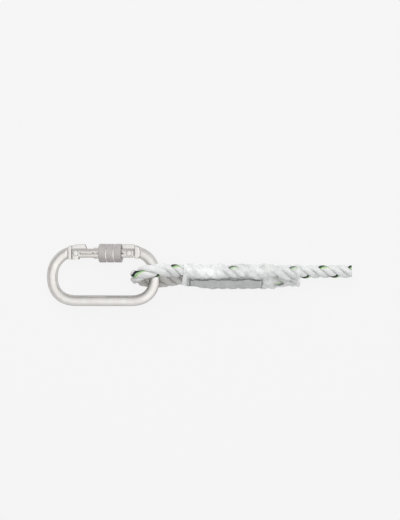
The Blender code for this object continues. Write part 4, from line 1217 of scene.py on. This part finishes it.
def make_sleeve():
    """The locking sleeve: ribs with rounded rims and turned grooves between them."""
    half, share = SLEEVE_LENGTH / 2, SLEEVE_LENGTH / SLEEVE_RIBS
    floor = SLEEVE_RADIUS - SLEEVE_GROOVE_DEPTH - SLEEVE_ROUND / 2
    profile = []
    for rib in range(SLEEVE_RIBS):
        first, last = rib == 0, rib == SLEEVE_RIBS - 1
        high = half - rib * share - (0 if first else SLEEVE_GROOVE_HALF)
        low = half - (rib + 1) * share + (0 if last else SLEEVE_GROOVE_HALF)
        profile += rounded_rim(high, SLEEVE_END_ROUND if first else SLEEVE_ROUND)
        low_rim = rounded_rim(high, SLEEVE_END_ROUND if last else SLEEVE_ROUND)
        profile += [(r, low + high - h) for r, h in reversed(low_rim)]
        if not last:
            profile += [(floor, low - SLEEVE_GROOVE_SLOPE),
                        (floor, low - 2 * SLEEVE_GROOVE_HALF + SLEEVE_GROOVE_SLOPE)]
    rim = SLEEVE_BORE_ROUND
    profile += [(SLEEVE_BORE + rim, -half), (SLEEVE_BORE, rim - half),
                (SLEEVE_BORE, half - rim), (SLEEVE_BORE + rim, half)]
    mesh = lathe("sleeve_ribbed", profile, SLEEVE_SIDES, "X")
    return settle("sleeve_ribbed", helper("sleeve_ribbed", mesh, GATE_FRAME
                                          @ Matrix.Translation((SLEEVE_MIDDLE, 0, 0))))


def brighten_grooves_and_shaded_ends(sleeve):
    """Gives the bottoms of the sleeve's grooves the second material, a lighter turned steel, and
    its end faces too: they are turned, and the lighter steel there also paints light over the
    shade that falls on them.
    """
    inverse = GATE_FRAME.inverted()
    limit = SLEEVE_RADIUS - SLEEVE_GROOVE_DEPTH * 0.6
    for polygon in sleeve.data.polygons:
        place = inverse @ polygon.center
        inside = math.hypot(place.y, place.z) < limit
        between = abs(place.x - SLEEVE_MIDDLE) < SLEEVE_LENGTH / 4
        facing_along = abs(polygon.normal.dot(GATE_DIRECTION)) > 0.95
        if (inside and between) or facing_along:
            polygon.material_index = 1


# Stage

# Light for matt surfaces, the backdrop, and the studio that reflections see
AMBIENT = (0.45, 0.45, 0.45)
BACKDROP = (0.922, 0.922, 0.922)
STUDIO_LEVEL = 0.60
STUDIO_SLOPE = (0.22, -0.17, 0.54)
# How much of a plain glow the floor shows to each kind of ray
FLOOR_GLOW = {"Is Camera Ray": 0.93, "Is Transmission Ray": 0.93, "Is Glossy Ray": 0.35}
FLOOR_SIZE = 3.0
# Lamps: place, width and length, and radiance
LAMPS = {"overhead": ((0.0, 0.15, 1.2), (1.2, 1.2), 1.40),
         "key": ((-0.1, 1.1, 0.9), (1.2, 0.8), 1.9)}


def make_camera():
    data = bpy.data.cameras.new("camera")
    data.sensor_width = SENSOR
    data.lens = SENSOR * CAMERA_DISTANCE / PICTURE_HEIGHT
    made = add_object("camera", data)
    made.location = Vector(CAMERA_AIM) + Vector((0, 0, CAMERA_DISTANCE))
    bpy.context.scene.camera = made


def make_lamp(name, location, size, radiance):
    """A rectangular lamp that faces the object and isn't seen itself, nor in the steel."""
    data = bpy.data.lights.new(name, "AREA")
    data.shape = "RECTANGLE"
    data.size, data.size_y = size
    data.energy = radiance * math.pi * size[0] * size[1]
    made = add_object(name, data)
    made.location = location
    made.rotation_mode = "QUATERNION"
    made.rotation_quaternion = (-made.location).to_track_quat("-Z", "Y")
    made.visible_camera = False
    made.visible_glossy = False


def make_world(scene):
    """Plain light for matt surfaces, a pale backdrop, and a studio for reflections that is
    bright overhead and darker towards the gate's side and the carabiner's end."""
    world = bpy.data.worlds.new("studio")
    world.use_nodes = True
    scene.world = world
    light = Nodes(world.node_tree)
    slope = light.add("VectorMath", {0: light.add("TexCoord", output="Generated"),
                                     1: STUDIO_SLOPE}, "Value", operation="DOT_PRODUCT")
    level = light.remap(slope, -1.0, 1.0, STUDIO_LEVEL - 1.0, STUDIO_LEVEL + 1.0)
    studio = light.add("CombineColor", {"Red": level, "Green": level, "Blue": level})
    lit = light.mix(light.rays({"Is Glossy Ray": 1.0}), AMBIENT, studio)
    seen = light.rays({"Is Camera Ray": 1.0, "Is Transmission Ray": 1.0})
    light.fill(light.nodes["Background"], {"Color": light.mix(seen, lit, BACKDROP)})


def make_floor():
    shape = bmesh.new()
    bmesh.ops.create_grid(shape, x_segments=1, y_segments=1, size=FLOOR_SIZE)
    mesh = bpy.data.meshes.new("floor")
    shape.to_mesh(mesh)
    shape.free()
    floor = Surface("floor", (0.90, 0.90, 0.90), 0.0, 1.0)
    floor.set({"Specular IOR Level": 0.0})
    mixed = floor.add("MixShader", {0: floor.rays(FLOOR_GLOW), 1: floor.shader.outputs[0],
                                    2: floor.add("Emission", {"Color": BACKDROP})})
    floor.fill(floor.nodes["Material Output"], {"Surface": mixed})
    mesh.materials.append(floor.material)
    add_object("floor", mesh)


def make_stage():
    scene = bpy.context.scene
    scene.view_settings.view_transform = "Standard"
    make_camera()
    make_world(scene)
    make_floor()
    for name, (location, size, radiance) in LAMPS.items():
        make_lamp(name, location, size, radiance)


# Pieces

rope = make_rope()
dark = make_tracer("tracer_dark", DARK_YARNS)
green = make_tracer("tracer_green", GREEN_YARNS)
pale = make_tracer("tracer_pale", PALE_YARNS)
tucks = make_tucks()
film_inside, over_label = film_rows()
film_inside = lift_off(film_inside, over_label, (rope, dark, green, pale, tucks))
film = make_film(film_inside, over_label)
label = make_label(film_inside)
ring = make_ring()
gate = make_gate()
hinge_rivet = make_rivet("hinge_rivet", RIVET_RADIUS, 0.0)
nose_pin = make_rivet("nose_pin", PIN_RADIUS, -SPACING)
sleeve = make_sleeve()
spring = make_spring()

white = yarn_material("white_yarn_fine", (0.78, 0.79, 0.79), (0.93, 0.935, 0.93))
bright = steel_material("bright_steel_fine", (0.74, 0.715, 0.685), (0.83, 0.81, 0.785),
                        (0.16, 0.27), 900.0, 0.006 * MM, rounding=0.35 * MM)
matte = steel_material("matte_steel_fine", (0.50, 0.475, 0.465), (0.56, 0.535, 0.525),
                       (0.60, 0.70), 2600.0, 0.04 * MM, edge_tint=0.6, metallic=0.4)
# Lighter turned steel for the sleeve's grooves, and for its end faces, where it also paints light
# over their shade
groove = steel_material("turned_steel_grooves_and_lit_ends", (0.78, 0.75, 0.74), (0.86, 0.83, 0.82),
                        (0.30, 0.40), 1500.0, 0.02 * MM, edge_tint=0.6)
wire = steel_material("spring_steel_fine", (0.34, 0.34, 0.34), (0.46, 0.46, 0.46),
                      (0.25, 0.40), 1500.0, 0.02 * MM)
for piece, materials in (
        (rope, (white, cut_material("cut_yarn"))),
        (dark, (yarn_material("dark_yarn", (0.005, 0.006, 0.007), (0.014, 0.014, 0.016), 0.02),)),
        (green, (yarn_material("green_yarn", (0.20, 0.44, 0.15), (0.42, 0.70, 0.33), 0.2),)),
        (pale, (yarn_material("pale_yarn", (0.62, 0.74, 0.48), (0.82, 0.88, 0.66), 0.2),)),
        (tucks, (white,)),
        (film, (film_material("shrunk_film"), film_material("shrunk_film_inside", inner=True))),
        (label, (label_material("label_stock", (LABEL_END - LABEL_START) / MM * LABEL_ENDS,
                                LABEL_WIDTH_MM),)),
        (ring, (bright,)), (gate, (bright,)), (hinge_rivet, (bright,)), (nose_pin, (bright,)),
        (sleeve, (matte, groove)), (spring, (wire,)),
        (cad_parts["spring_plunger"], (wire,))):
    piece.data.materials.clear()
    for made in materials:
        piece.data.materials.append(made)
for polygon in rope.data.polygons:
    if polygon.normal.x > 0.99 and polygon.center.x > HALF_LENGTH - 0.1 * MM:
        polygon.material_index = 1
brighten_grooves_and_shaded_ends(sleeve)

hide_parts("rope_strand_1", "rope_strand_2", "rope_strand_3")
for piece, body, node, slot in (
        (film, "rope", "heat_shrink_sleeve", "clear_film"),
        (label, "rope", "id_label", "label_paper"),
        (ring, "carabiner", "carabiner_body", "bright_steel"),
        (gate, "gate", "gate", "bright_steel"),
        (hinge_rivet, "gate", "gate_hinge_rivet", "bright_steel"),
        (nose_pin, "gate", "latch_pin", "bright_steel"),
        (sleeve, "sleeve", "locking_sleeve", "matte_steel")):
    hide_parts(node)
    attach(piece, body)
for piece, slot in ((rope, "white_yarn"), (tucks, "white_yarn"), (dark, "tracer_yarn"),
                    (green, "tracer_yarn"), (pale, "tracer_yarn")):
    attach(piece, "rope")

make_stage()
